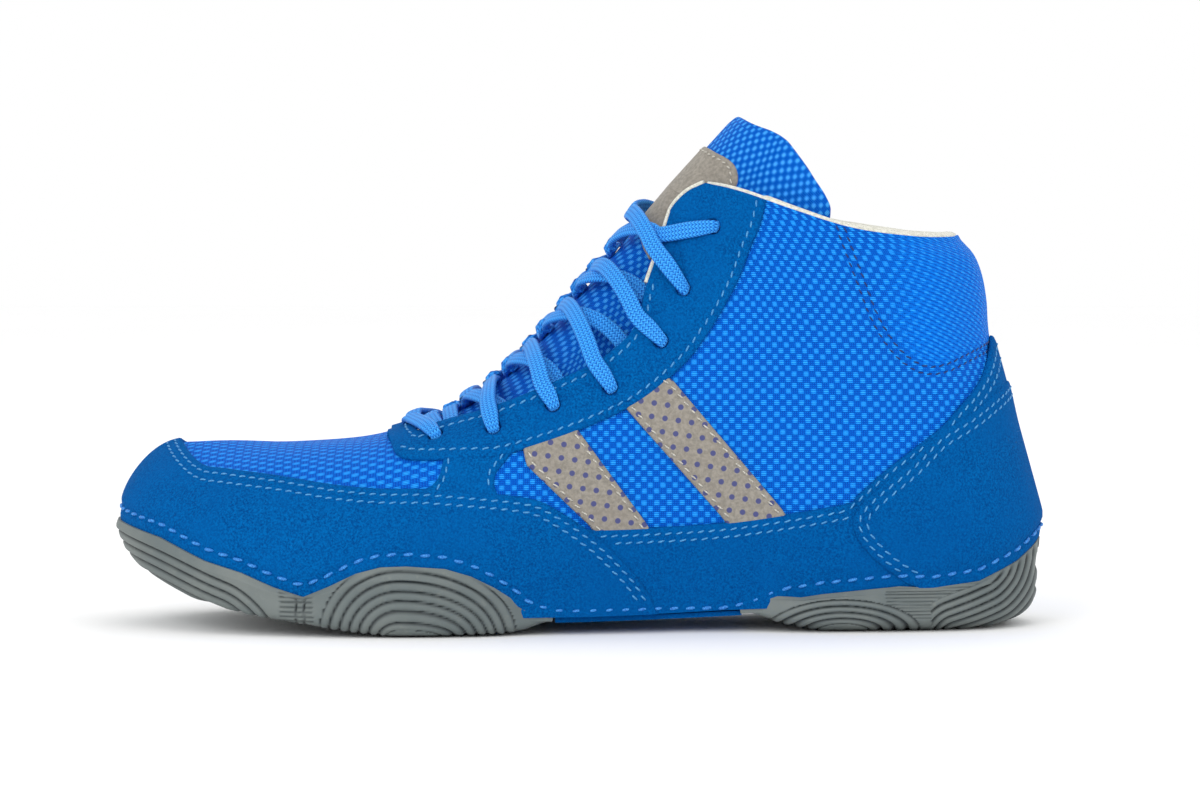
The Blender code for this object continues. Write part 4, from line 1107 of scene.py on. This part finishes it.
def build_upper(looks):
    """Both sides' panels that run round the toe or the heel, then each side's own."""
    whole, coarse = skin(), skin(fine=(3, 4))
    open_throat = outside(throat())
    vamp = both(beyond(0, VAMP_SEAM, -1), open_throat)
    weave = panel("vamp_weave", "vamp_mesh", looks["vamp"], "mesh", whole, vamp, 0.0, MESH_IN, SOFT_RIM,
                  marks={"stretch": lambda table: np.zeros(len(table))})
    lay_cloth(weave.data, over_vamp(places(weave)))
    mudguard = both(right_of(MUDGUARD_TOP), beyond(0, 60, -1))
    panel("mudguard_suede", "toe_mudguard", looks["suede"], "suede", whole, mudguard, mudguard_outer,
          beneath(mudguard_outer), levels=(0.1, 0.35, 1.0, 3.0))
    panel("heel_counter_suede", "heel_counter_cover", looks["suede"], "suede", whole,
          right_of(COUNTER_OUTLINE), counter_outer, beneath(counter_outer))
    strap = both(right_of(HEEL_TOP), inset(left_of(COUNTER_OUTLINE), -UNDERLAP), beyond(0, STRAP_FRONT),
                 beyond(2, STRAP_FOOT))
    panel("back_strap_suede", "back_strap", looks["suede"], "suede", whole, strap, STRAP_OUT, GAP)
    panel("vamp_lining_knit", "vamp_lining", looks["lining"], "lining", coarse, vamp, lining_out, lining_in,
          LINING_RIM)
    for name, node, look, field in (
        ("toe_puff_board", "toe_puff", "board", beyond(0, PUFF_BACK - GAP, -1)),
        ("vamp_filler", "vamp_interlining", "foam", both(vamp, beyond(0, PUFF_BACK))),
        ("heel_counter_board", "heel_counter", "board", inside_of(HEEL_BOARD_ZONE)),
        ("collar_filler", "collar_foam", "foam", left_of(COLLAR_SEAM)),
    ):
        panel(name, node, looks[look], look, coarse, field, FOAM_OUT, foam_in, THIN_RIM)
    for word, side in SIDES.items():
        build_side(word, side, looks, open_throat)


def build_side(word, side, looks, open_throat):
    half, coarse = skin((side,)), skin((side,), fine=(3, 4))
    detail = skin((side,), (5, 18), (2, ROWS), (16, 18))
    quarter = both(beyond(0, VAMP_SEAM + GAP), open_throat)
    filler = both(beyond(0, VAMP_SEAM + GAP), right_of(EYESTAY_EDGE), right_of(COLLAR_SEAM),
                  outside(inside_of(HEEL_BOARD_HOLE)))
    eyestay = both(left_of(EYESTAY_EDGE), open_throat, eyelet_holes(side))
    midfoot = both(right_of(MIDFOOT_TOP), inset(left_of(MUDGUARD_TOP), -UNDERLAP),
                   inset(left_of(COUNTER_OUTLINE), -MIDFOOT_UNDERLAP), beyond(0, MIDFOOT_ENDS[0]),
                   beyond(0, MIDFOOT_ENDS[1], -1))
    for name, node, look, slot, base, field, outer, inner, rim, marks in (
        ("quarter_weave", "quarter_mesh", "weave", "mesh", half, quarter, pad_bulge,
         beneath(pad_bulge, -MESH_IN), SOFT_RIM, {"stretch": collar_stretch}),
        ("quarter_lining_knit", "quarter_lining", "lining", "lining", half, quarter, lining_out, lining_in,
         LINING_RIM, None),
        ("quarter_filler", "quarter_foam", "foam", "foam", coarse, filler, FOAM_OUT, foam_in, THIN_RIM, None),
        ("eyestay_suede", "eyestay", "suede", "suede", detail, eyestay, SKIN_OUT, GAP, EYESTAY_RIM, None),
        ("saddle_suede", "saddle_strap", "suede", "suede", half, inside_of(SADDLE_OUTLINE), SADDLE_OUT, 0.1,
         SOFT_RIM, None),
        ("midfoot_suede", "midfoot_panel", "suede", "suede", half, midfoot, suede_outer, beneath(suede_outer),
         SUEDE_RIM, None),
    ):
        panel(f"{name}_{word}", f"{node}_{word}", looks[look], slot, base, field, outer, inner, rim,
              marks=marks)
    for place, corners in STRIPES.items():
        stripe = panel(f"stripe_{place}_synthetic_{word}", f"stripe_{place}_{word}", looks["dotted"],
                       "grey_patch", half, inside_of(corners), STRIPE_OUT, 0.1, SOFT_RIM)
        lay_cloth(stripe.data, along_stripe(places(stripe)))


def places(piece):
    """The piece's points, in the millimetres of this script."""
    return np.array([vertex.co for vertex in piece.data.vertices]) / MM + CENTRE


def along_stripe(points):
    """Cloth coordinates along and across a stripe, as the side view shows it."""
    x, z = points[:, 0], points[:, 2]
    turn = math.radians(STRIPE_TURN)
    cosine, sine = math.cos(turn), math.sin(turn)
    return np.stack([x * cosine + z * sine, z * cosine - x * sine], -1)


def over_vamp(points):
    """Cloth coordinates along the foot, and across it with what the sides drop added."""
    x, y, z = points.T
    return np.stack([x, y + VAMP_DROP * np.sign(y) * (RIDGE[-1][2] - z)], -1)


def build_collar_roll(looks):
    """The lining rolls over the collar's top edge and meets the mesh."""
    for word, side in SIDES.items():
        points, uv = [], []
        stations = np.linspace(0, SHAFT_STATIONS, ROLL_RINGS)
        stations = stations[surface(side, stations, ROWS)[:, 0] > ROLL_FRONT]
        for station in stations:
            point = surface(side, station, ROWS)
            _, normal = frame(side, max(station, 0.05), ROWS - 0.2)
            if station == 0:
                point[1], normal[1] = 0, 0
            up = unit(surface(side, station, ROWS) - surface(side, station, ROWS - 0.3))
            row = np.zeros((1, SIDE + 1))
            row[0, POINT] = point
            high, low = float(pad_bulge(row)[0]) - 0.3, float(lining_in(row)[0]) - 0.1
            middle, half = (high + low) / 2, (high - low) / 2
            for corner, angle in enumerate(circle(BRAID_CORNERS)):
                rise = 0.9 + 0.45 * half if math.sin(angle) > 0 else 1.6
                lift = math.sin(angle) * rise - 0.6
                points.append(point + normal * (middle + half * math.cos(angle)) + up * lift)
                uv.append((station * 10, corner))
        faces = ring_faces(0, len(stations), BRAID_CORNERS)
        faces = faces if side == LATERAL else [face[::-1] for face in faces]
        new_mesh(f"collar_roll_{word}", points, faces, looks["lining"], uv, slot="lining")


def tube(name, chains, out, radius, material, slot, corners=8):
    """A round piping along each chain of table rows."""
    points, faces, uv = [], [], []
    for chain in chains:
        centres = chain[:, POINT] + unit(chain[:, NORMAL]) * out
        along = directions(centres)
        across = unit(np.cross(chain[:, NORMAL], along))
        faces += ring_faces(len(points), len(chain), corners)
        for number, (centre, side, up) in enumerate(zip(centres, across, np.cross(along, across))):
            for corner, angle in enumerate(circle(corners)):
                points.append(centre + radius * (math.cos(angle) * side + math.sin(angle) * up))
                uv.append((number, corner))
    return new_mesh(name, points, faces, material, uv, slot=slot, sharp=0)


def build_tongue(looks):
    """The padded tongue with its label and the label's stitches."""
    rows = (0, ROWS + TONGUE_ROWS)
    field = inside_of([*catmull_rom(TONGUE_OUTLINE[:TONGUE_SMOOTH_POINTS], 4).tolist(),
                       *TONGUE_OUTLINE[TONGUE_SMOOTH_POINTS:]])
    patch = clipped(skin(BOTH, (2, STATIONS - 1), rows, (7, 8)), field, (0.15, 0.5, 1.2, 2.4, TONGUE_RIM))
    full = rounded_rim(field(patch.table), TONGUE_RIM)
    seam = tongue_out(patch.table) + 0.4 - TONGUE_PLUMP
    back = seam - (TONGUE_THICKNESS - TONGUE_PLUMP) * full
    points, faces, source = closed(patch, seam + TONGUE_PLUMP * full, back)
    pad = new_mesh("tongue_pad", points, faces, looks["tongue"], patch.table[source][:, UV],
                   {"stretch": np.zeros(len(source))}, body=None, slot="mesh")
    pad.data.materials.append(looks["lining"])
    count = len(patch.triangles)
    for number in range(count, 2 * count):
        pad.data.polygons[number].material_index = 1
    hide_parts("tongue_lower", "tongue_top")
    base, outline = skin(BOTH, (4, STATIONS - 7), rows, (10, 12)), inside_of(LABEL_OUTLINE, True)
    label_out = beneath(tongue_out, -LABEL_OUT)
    label = panel("tongue_label_patch", "tongue_label", looks["patch"], "grey_patch", base, outline,
                  label_out, beneath(tongue_out, -0.2), LABEL_RIM, body=None)
    chains = sewn(base, outline, 1.6, beyond(0, 24), 2.8)
    thread = stitches("stitches_label", chains, looks["cream"], label_out, 2.0, 0.26, body=None)
    for soft in (pad, label, thread):
        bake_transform(soft)


def lace_mesh(name, rows, material):
    """A flat braid through control rows: (place, flat side's normal, width, thickness)."""
    table = np.array([[*place, *normal, width, thick] for place, normal, width, thick in rows])
    dense = catmull_rom(table, 7)
    lengths = distances(dense[:, POINT])
    count = int(lengths[-1] / BRAID_PITCH)
    reach = np.linspace(0, lengths[-1], count)
    dense = between_rows(reach, lengths, dense)
    centres, flat = dense[:, POINT], dense[:, NORMAL]
    along = directions(centres)

    def square(flat):
        return unit(flat - along * (flat * along).sum(1)[:, None], 1e-6)

    flat = square(flat)
    for _ in range(4):
        flat[1:-1] = flat[:-2] + 2 * flat[1:-1] + flat[2:]
        flat = square(flat)
    across = np.cross(flat, along)
    angles = np.array(circle(BRAID_CORNERS))
    wide, thick = (np.sign(turn) * np.abs(turn) ** 0.75 for turn in (np.cos(angles), np.sin(angles)))
    points = (centres[:, None] + across[:, None] * (wide * dense[:, 6:7] / 2)[..., None]
              + flat[:, None] * (thick * dense[:, 7:8] / 2)[..., None]).reshape(-1, 3)
    half = LACE_WIDTH / 2
    uv = [(share * half + half, along_braid) for along_braid in reach for share in wide]
    faces = ring_faces(0, count, BRAID_CORNERS)
    return new_mesh(name, points, faces, material, uv, slot="lace", sharp=0), centres


def ridge_place(side, x):
    """(station, row) of the place on the ridge with this x."""
    stations = np.linspace(STATIONS, SHAFT_STATIONS, 200)
    return np.array([np.interp(x, surface(side, stations, ROWS)[:, 0], stations), ROWS])


def lying(side, place, away, face):
    """A row of the braid, this far out from a (station, row) of the upper."""
    point, normal = frame(side, *place)
    return point + normal * away, normal * face, LACE_WIDTH, LACE_THICKNESS


def strand(side, top, number, lift, away, face):
    """From the ridge to an eyelet, over or under the edge of its row."""
    eyelet = np.array(EYELETS[number])
    high = surface(side, *top)[[0, 2]]
    shares = np.linspace(0, 1, 60)[:, None]
    line = high + (eyelet - high) * shares
    edge = shares[throat()(np.insert(line, 1, 0, axis=1)) > 0][-1, 0]
    low = locate(side, *(high + (eyelet - high) * edge))
    rows = [lying(side, top + (low - top) * share, lift + (away - lift) * smooth(share), face)
            for share in (0.15, 0.4, 0.65, 0.85, 1.0)]
    halfway = locate(side, *(high + (eyelet - high) * (1 + edge) / 2))
    return rows + [lying(side, halfway, away, face)]


def crossing(side, number, face):
    """From one eyelet, over the tongue, to the next eyelet across."""
    first, last = number == 0, number == len(EYELETS) - 2
    loose = LOOSE_LIFT if last and side == LATERAL else 0.0
    lift = LACE_LIFTS[side] + loose
    x = RIDGE_CROSSINGS[side][number]
    near, far = ridge_place(side, x), ridge_place(-side, x)
    rows = strand(side, near, number, lift, LACE_UNDER if first else LACE_OVER + loose, face)[::-1]
    rows.append(lying(side, near, lift, face))
    return rows + strand(-side, far, number + 1, lift, LACE_OVER if last else LACE_UNDER, face)


def through_eyelet(side, number, face, depth=LACE_UNDER + 1.4):
    """Down through an eyelet: the braid gathers, and its flat face turns over."""
    place = EYELETS[number]
    point, normal = frame(side, *locate(side, *place))
    run = catmull_rom(THROAT_EDGE, 12)
    edge = run[np.argmin(np.linalg.norm(run - np.array(place), axis=1))]
    inwards = frame(side, *locate(side, *edge))[0] - point
    away = unit(normal * (inwards @ normal) - inwards)
    return [(point + normal * 2.2 + away * 0.2, (normal + away) * face, 4.0, 2.1),
            (point + normal * 0.6 + away * 0.7, away * face, 3.4, 2.4),
            (point - normal * 1.6 + away * 0.5, (away - normal) * face, 3.4, 2.4),
            (point + normal * depth, -normal * face, 4.0, 2.0)]


def build_laces(looks):
    halves = []
    for side in BOTH:
        eyelet, top = locate(side, *EYELETS[0]), ridge_place(side, BAR_RIDGE)
        half = [lying(side, top + (eyelet - top) * share, LACE_OVER, 1) for share in (0.25, 0.5, 0.8)]
        half += through_eyelet(side, 0, 1)
        here, face = side, -1
        for number in range(len(EYELETS) - 1):
            half += crossing(here, number, face)
            here = -here
            if number < len(EYELETS) - 2:
                half += through_eyelet(here, number + 1, -face)[::-1]
                face = -face
        half += through_eyelet(here, len(EYELETS) - 1, face, LACE_TUCK)
        halves.append(half)
    bar = lying(LATERAL, ridge_place(LATERAL, BAR_RIDGE), LACE_OVER, 1)
    lace, _ = lace_mesh("lace_braid", [*halves[0][::-1], bar, *halves[1]], looks["braid"])
    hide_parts("lace")
    for word, side in SIDES.items():
        point, normal = frame(side, *locate(side, *EYELETS[-1]))
        rows = [(point + normal * -7.6, normal, 3.6, 2.2)]
        for place in LACE_END:
            point, normal = frame(side, *locate(side, *place))
            rows.append((point + normal * -7.2, normal, LACE_WIDTH, 1.6))
        piece, centres = lace_mesh(f"lace_tail_{word}", rows, looks["braid"])
        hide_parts(f"lace_end_{word}")
        path = (centres - CENTRE) * MM
        length = round(float(distances(path)[-1]), 3)
        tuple(path[0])


def rib_position(points, arcs):
    """How many nested arcs out from the middle a side-view point lies, and whether it lies on them."""
    (x0, z0), heights, fronts, rears = arcs
    dx, dz = points[:, 0] - x0, np.maximum(points[:, 1] - z0, 0)
    ratios = [np.hypot(dx / np.where(dx < 0, front, rear), dz / height)
              for height, front, rear in zip(heights, fronts, rears)]
    position = np.full(len(points), float(len(heights)))
    for number in reversed(range(len(heights))):
        outer = ratios[number]
        share = 0.5
        if number:
            inner = ratios[number - 1]
            share = np.clip((inner - 1) / np.maximum(inner - outer, 1e-6), 0, 1)
        position = np.where(outer <= 1, number - 1 + share, position)
    return position + 1, ratios[-1] <= 1.0


def groove(position, pitch, width=0.42):
    """1 in the middle of a groove at each whole position, falling to 0 on the ribs."""
    away = np.abs(position - np.round(position)) * pitch
    return np.exp(-(away / width) ** 2)


def ribs(points):
    """For side-view points of the rubber: how deep in a groove, and how far out on a terrace, from 0 to 1."""
    x, z = points.T
    flat = np.stack([x, 0 * x, z], -1)
    on_ball, inside_ball = rib_position(points, BALL_ARCS)
    on_heel, inside_heel = rib_position(points, HEEL_ARCS)
    below_toe = right_of(TOE_CURVE)(flat)
    into_heel = left_of(HEEL_CURVE)(flat)
    waist = groove((x + 86) / WAIST_PITCH, WAIST_PITCH, 0.3) * (np.abs(x + 85) < 2.5)
    depth, terrace = np.zeros(len(points)), np.zeros(len(points))
    for zone, lines, level in (
        (inside_ball & (x > -81), groove(on_ball, BALL_PITCH), on_ball),
        ((x < -92) & (below_toe > -0.5), groove(below_toe / TOE_PITCH, TOE_PITCH), below_toe / TOE_PITCH),
        ((x >= -91) & (x < -81) & ~inside_ball,
         np.maximum(0.6 * groove(z / POCKET_PITCH, POCKET_PITCH, 0.3), waist), None),
        (inside_heel, groove(on_heel, HEEL_PITCH, 0.36), on_heel),
        ((x > 104) & (into_heel < 13.5) & ~inside_heel, groove(into_heel / REAR_PITCH, REAR_PITCH, 0.4),
         into_heel / REAR_PITCH),
        ((x > 90) & (z > 4) & ~inside_heel & ~((x > 104) & (into_heel < 13.5)),
         0.5 * groove(z / FINE_PITCH, FINE_PITCH, 0.22), None),
    ):
        depth = np.where(zone, lines, depth)
        if level is not None:
            terrace = np.where(zone, level - np.floor(level), terrace)
    return depth, terrace


def wall_top_rows(side, stations, scallop):
    """The rows at which the suede's lower edge crosses these stations."""
    low, high = np.zeros(len(stations)), np.full(len(stations), 4.0)
    for _ in range(22):
        row = (low + high) / 2
        point = surface(side, stations, row)
        under = point[:, 2] < line_height(scallop, point[:, 0]) - 0.4
        low, high = np.where(under, row, low), np.where(under, high, row)
    return np.maximum(high, 0.05)


def station_middles(stations):
    return (station_ends(LATERAL, stations)[0] + station_ends(MEDIAL, stations)[0]) / 2


def level_normals(side, s, r):
    """The surface's normals, laid level."""
    step = 0.08
    along = surface(side, s + step, r) - surface(side, np.maximum(s - step, 0), r)
    up = surface(side, s, r + step) - surface(side, s, np.maximum(r - step, 0.0))
    return unit(unit(np.cross(along, up) * side) * (1, 1, 0))


def pod_outline(side, s, top, normal, body, tread, spine):
    """Each station's control points, from the suede's edge down the wall and in to the spine."""
    foot, _, outward = station_ends(side, s)
    proud = TIP_OUT + (RUBBER_OUT - TIP_OUT) * body
    wall = [surface(side, s, top * share) + normal * (proud + lift)
            for share, lift in ((1, -1.2 * body), (0.75, 0.1), (0.5, 0.5 * body), (0, 0.3 * body))]
    wall[-1][:, 2] = (foot[:, 2] + 1.5 * line_height(tread, foot[:, 0])) / 2.5
    bottom = [foot - outward * 3.0, foot - outward * 8.0, spine.copy()]
    for line, lift in zip(bottom, (0.25, 0, 0)):
        line[:, 2] = line_height(tread, line[:, 0]) + lift
    return np.stack([*wall, *bottom], 1)


def pod_face(sections):
    """A fine grid of points through the control points: smooth down the wall, straight below."""
    rows = []
    for number, count in enumerate(POD_STEPS):
        a, b = sections[:, number], sections[:, number + 1]
        before = sections[:, number - 1] if number else 2 * a - b
        after = sections[:, min(number + 2, len(POD_STEPS))]
        if number >= 4:
            before, after = 2 * a - b, 2 * b - a
        rows += [bend(before, a, b, after, t) for t in np.arange(count) / count]
    return np.stack([*rows, sections[:, -1]], 1)


def build_pod(name, node, stations, tread, scallop, tip_x, looks):
    """A rubber pod: a wall up to the suede, and a bottom down to the tread line, with moulded ribs."""
    s = np.linspace(*stations, int((stations[1] - stations[0]) * POD_FINENESS) + 1)
    toe, at_heel, at_toe = tip_x < 0, stations[0] == 0, stations[1] == STATIONS
    middles = station_middles(s)
    tip, order = int(np.argmin(np.abs(middles[:, 0] - tip_x))), np.arange(len(s))
    spine = middles[np.minimum(order, tip) if toe else np.maximum(order, tip)]
    by_x = middles[np.argsort(middles[:, 0])]
    body = smooth(np.abs(s - stations[0 if toe else 1]) / POD_TAPER)[:, None]
    table, faces, uv, groove_dirt_and_shade = [], [], [], []
    for side in BOTH:
        foot, _, outward = station_ends(side, s)
        top = wall_top_rows(side, s, scallop)
        normal = level_normals(side, s, top * 0.5)
        if at_heel:
            normal[0] = (1, 0, 0)
        if at_toe:
            normal[-1] = (-1, 0, 0)
        grid = pod_face(pod_outline(side, s, top, normal, body, tread, spine))
        square = unit(np.cross(np.gradient(grid, axis=1), np.gradient(grid, axis=0)) * side, 1e-6)
        depth, terrace = (values.reshape(grid.shape[:2]) for values in ribs(grid[..., [0, 2]].reshape(-1, 2)))
        fade, last = np.ones(grid.shape[1]), POD_STEPS[-1] + 1
        fade[:5] = np.linspace(0.15, 0.9, 5)
        fade[-last:] = np.linspace(1, 0.4, last)
        push = (TERRACE * (terrace - 0.5) - RIB_DEPTH * depth) * fade
        if at_heel:
            push[0] = push[1]
            square[0] = square[0] * (1, 0, 1)
        if at_toe:
            square[-1] = square[-1] * (1, 0, 1)
        shown = grid + square * push[..., None]
        shown[..., 2] = np.maximum(shown[..., 2], 0.0)
        back = [spine.copy(), foot - outward * 5.0,
                *(surface(side, s, row) + normal * (SKIN_OUT - 0.4) for row in (0 * top, top))]
        back[0][:, 2] = np.interp(spine[:, 0], by_x[:, 0], by_x[:, 2]) - 1.4
        back[1][:, 2] = foot[:, 2] - 1.4
        back[2][:, 2] = foot[:, 2] - 1.3
        loop = np.concatenate([shown, np.stack(back, 1)], 1)
        first, width = len(table), loop.shape[1]
        table += loop.reshape(-1, 3).tolist()
        # The groove depth, kept as a mark, darkens the rubber's colour there: dirt and painted shade.
        groove_dirt_and_shade += np.concatenate([depth * fade, np.zeros((len(s), len(back)))], 1).ravel().tolist()
        uv += [(i * 0.4, j * 0.4) for i in range(len(s)) for j in range(width)]
        walls = ring_faces(first, len(s), width)[:-2]
        faces += [(a, d, c, b) if side == LATERAL else (b, c, d, a) for a, b, c, d in walls]
    piece = new_mesh(name, table, faces, looks["rubber"], uv, {"groove": groove_dirt_and_shade}, slot="rubber", sharp=55)
    shape = bmesh.new()
    shape.from_mesh(piece.data)
    bmesh.ops.remove_doubles(shape, verts=shape.verts[:], dist=0.00002)
    bmesh.ops.holes_fill(shape, edges=[edge for edge in shape.edges if edge.is_boundary], sides=400)
    bmesh.ops.recalc_face_normals(shape, faces=shape.faces[:])
    shape.to_mesh(piece.data)
    shape.free()
    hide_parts(node)


def build_sole(looks):
    middles = station_middles(np.arange(STATIONS + 1))[:, 0]
    waist = int(np.flatnonzero(middles < -11)[0]) - 0.4
    breast = int(np.flatnonzero(middles > 49)[-1]) + 0.2
    build_pod("forefoot_tread", "forefoot_outsole", (waist, STATIONS), FRONT_TREAD, SUEDE_FOOT, TOE_SPINE_END,
              looks)
    build_pod("heel_tread", "heel_outsole", (0, breast), HEEL_TREAD, SUEDE_HEEL, HEEL_SPINE_END, looks)


def build_stitching(looks):
    whole = skin()
    clear = inset(above_rubber, 4.5)
    mudguard, counter, eyestay = right_of(MUDGUARD_TOP), right_of(COUNTER_OUTLINE), left_of(EYESTAY_EDGE)
    before_mudguard, before_counter = left_of(MUDGUARD_TOP), left_of(COUNTER_OUTLINE)
    midfoot = both(clear, inset(before_mudguard, 1.0), inset(before_counter, 2.0), beyond(0, -6),
                   beyond(0, 86, -1))
    strap = both(beyond(0, 79), inset(before_counter, -0.2))
    seams = {
        "mudguard": (mudguard, both(clear, beyond(0, 26, -1)), mudguard_outer),
        "midfoot": (right_of(MIDFOOT_TOP), midfoot, SKIN_OUT),
        "counter": (counter, both(clear, beyond(0, 70)), counter_outer),
        "strap": (inset(right_of(HEEL_TOP), -0.7), strap, STRAP_OUT),
    }
    for number, depth in enumerate(SEAM_INSETS):
        for seam, (field, keep, out) in seams.items():
            chains = sewn(whole, field, depth, keep, SEAM_PITCH)
            stitches(f"stitches_{seam}_{number}", chains, looks["thread"], out)
        keep = both(outside(right_of(HEEL_TOP)), beyond(0, 74))
        chains = sewn(whole, left_of(COLLAR_SEAM), 2.2 * number - 0.6, keep, 2.9)
        stitches(f"stitches_collar_{number}", chains, looks["navy"], pad_bulge, length=2.0, radius=0.26)
    stitches("stitches_sole", sewn(whole, above_rubber, 3.1, lambda table: np.ones(len(table)), SOLE_PITCH),
             looks["bold"], beneath(sole_outer, -0.3), length=3.2, radius=0.55, tilt=0.14)
    throat_edge = outside(throat())
    in_view = both(outside(eyestay), outside(right_of(MIDFOOT_TOP)))
    for word, side in SIDES.items():
        half, lower = skin((side,), (5, 18), (2, ROWS), (12, 14)), skin((side,), (4, 16), (0, ROWS), (10, 12))
        chains = sewn(half, eyestay, 2.3, both(inset(throat_edge, 1.2), beyond(0, -55)), SEAM_PITCH)
        chains += sewn(half, throat_edge, 2.2, both(inset(eyestay, 3.4), beyond(2, 104, -1)), SEAM_PITCH)
        stitches(f"stitches_eyestay_{word}", chains, looks["thread"], SKIN_OUT)
        chains = sewn(half, inside_of(SADDLE_OUTLINE), 1.7, both(outside(eyestay), outside(mudguard)), 3.0)
        stitches(f"stitches_saddle_{word}", chains, looks["thread"], SADDLE_OUT)
        for place, corners in STRIPES.items():
            stitches(f"stitches_stripe_{place}_{word}", sewn(lower, inside_of(corners), 1.5, in_view, 3.0),
                     looks["cream"], STRIPE_OUT + 0.1, length=2.0, radius=0.28)
        chains = [resampled(chain, 0.8) for chain in contours(half, throat_edge(half.table), -0.35)]
        chains = [chain[(chain[:, 2] > 104) & (chain[:, 0] < 40)] for chain in chains]
        chains = [chain for chain in chains if len(chain) > 4]
        tube(f"throat_piping_{word}", chains, 0.6, 0.75, looks["lining"], "lining")


def dress_cad(looks):
    """New materials for the CAD nodes that stay."""
    for node, look in {"arch_cover": "suede", "lasting_board": "board", "footbed": "lining",
                       "aglet_lateral": "aglet", "aglet_medial": "aglet"}.items():
        mesh = bpy.data.objects[node].data
        mesh.materials.clear()
        mesh.materials.append(looks[look])


def aimed(name, data, place, target):
    """Puts a lamp or camera at a place and turns it to a target."""
    made = bpy.data.objects.new(name, data)
    made.location = place
    direction = Vector(target) - Vector(place)
    made.rotation_euler = direction.to_track_quat("-Z", "Y").to_euler()
    bpy.context.scene.collection.objects.link(made)
    return made


def build_stage():
    bpy.ops.mesh.primitive_plane_add(size=6.0)
    floor = bpy.context.object
    floor.name = "studio_floor"
    shader = Shader("paper", 0.9, 0.1)
    tone = shader.mix(shader.noise(3.0, 2.0), PAPER_DARK, (255, 255, 255))
    floor.data.materials.append(shader.finish(tone))
    world = bpy.data.worlds.new("studio")
    world.use_nodes = True
    background = world.node_tree.nodes["Background"]
    background.inputs[0].default_value = (1, 1, 1, 1)
    background.inputs[1].default_value = 1.0
    bpy.context.scene.world = world
    for name, (place, size, power) in LAMPS.items():
        lamp = bpy.data.lights.new(name, "AREA")
        lamp.shape = "DISK"
        lamp.size = size
        lamp.energy = power
        aimed(name, lamp, place, LAMP_TARGET)
    bpy.context.scene.view_settings.view_transform = "Standard"


def build_camera():
    camera = bpy.data.cameras.new("camera")
    camera.lens = CAMERA_LENS
    camera.sensor_width = CAMERA_SENSOR
    camera.clip_start = CAMERA_NEAR
    bpy.context.scene.camera = aimed("camera", camera, CAMERA_PLACE, CAMERA_TARGET)


def main():
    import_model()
    looks = build_looks()
    build_camera()
    build_stage()
    build_upper(looks)
    build_collar_roll(looks)
    build_tongue(looks)
    build_laces(looks)
    build_sole(looks)
    build_stitching(looks)
    dress_cad(looks)
    bpy.context.view_layer.update()


main()
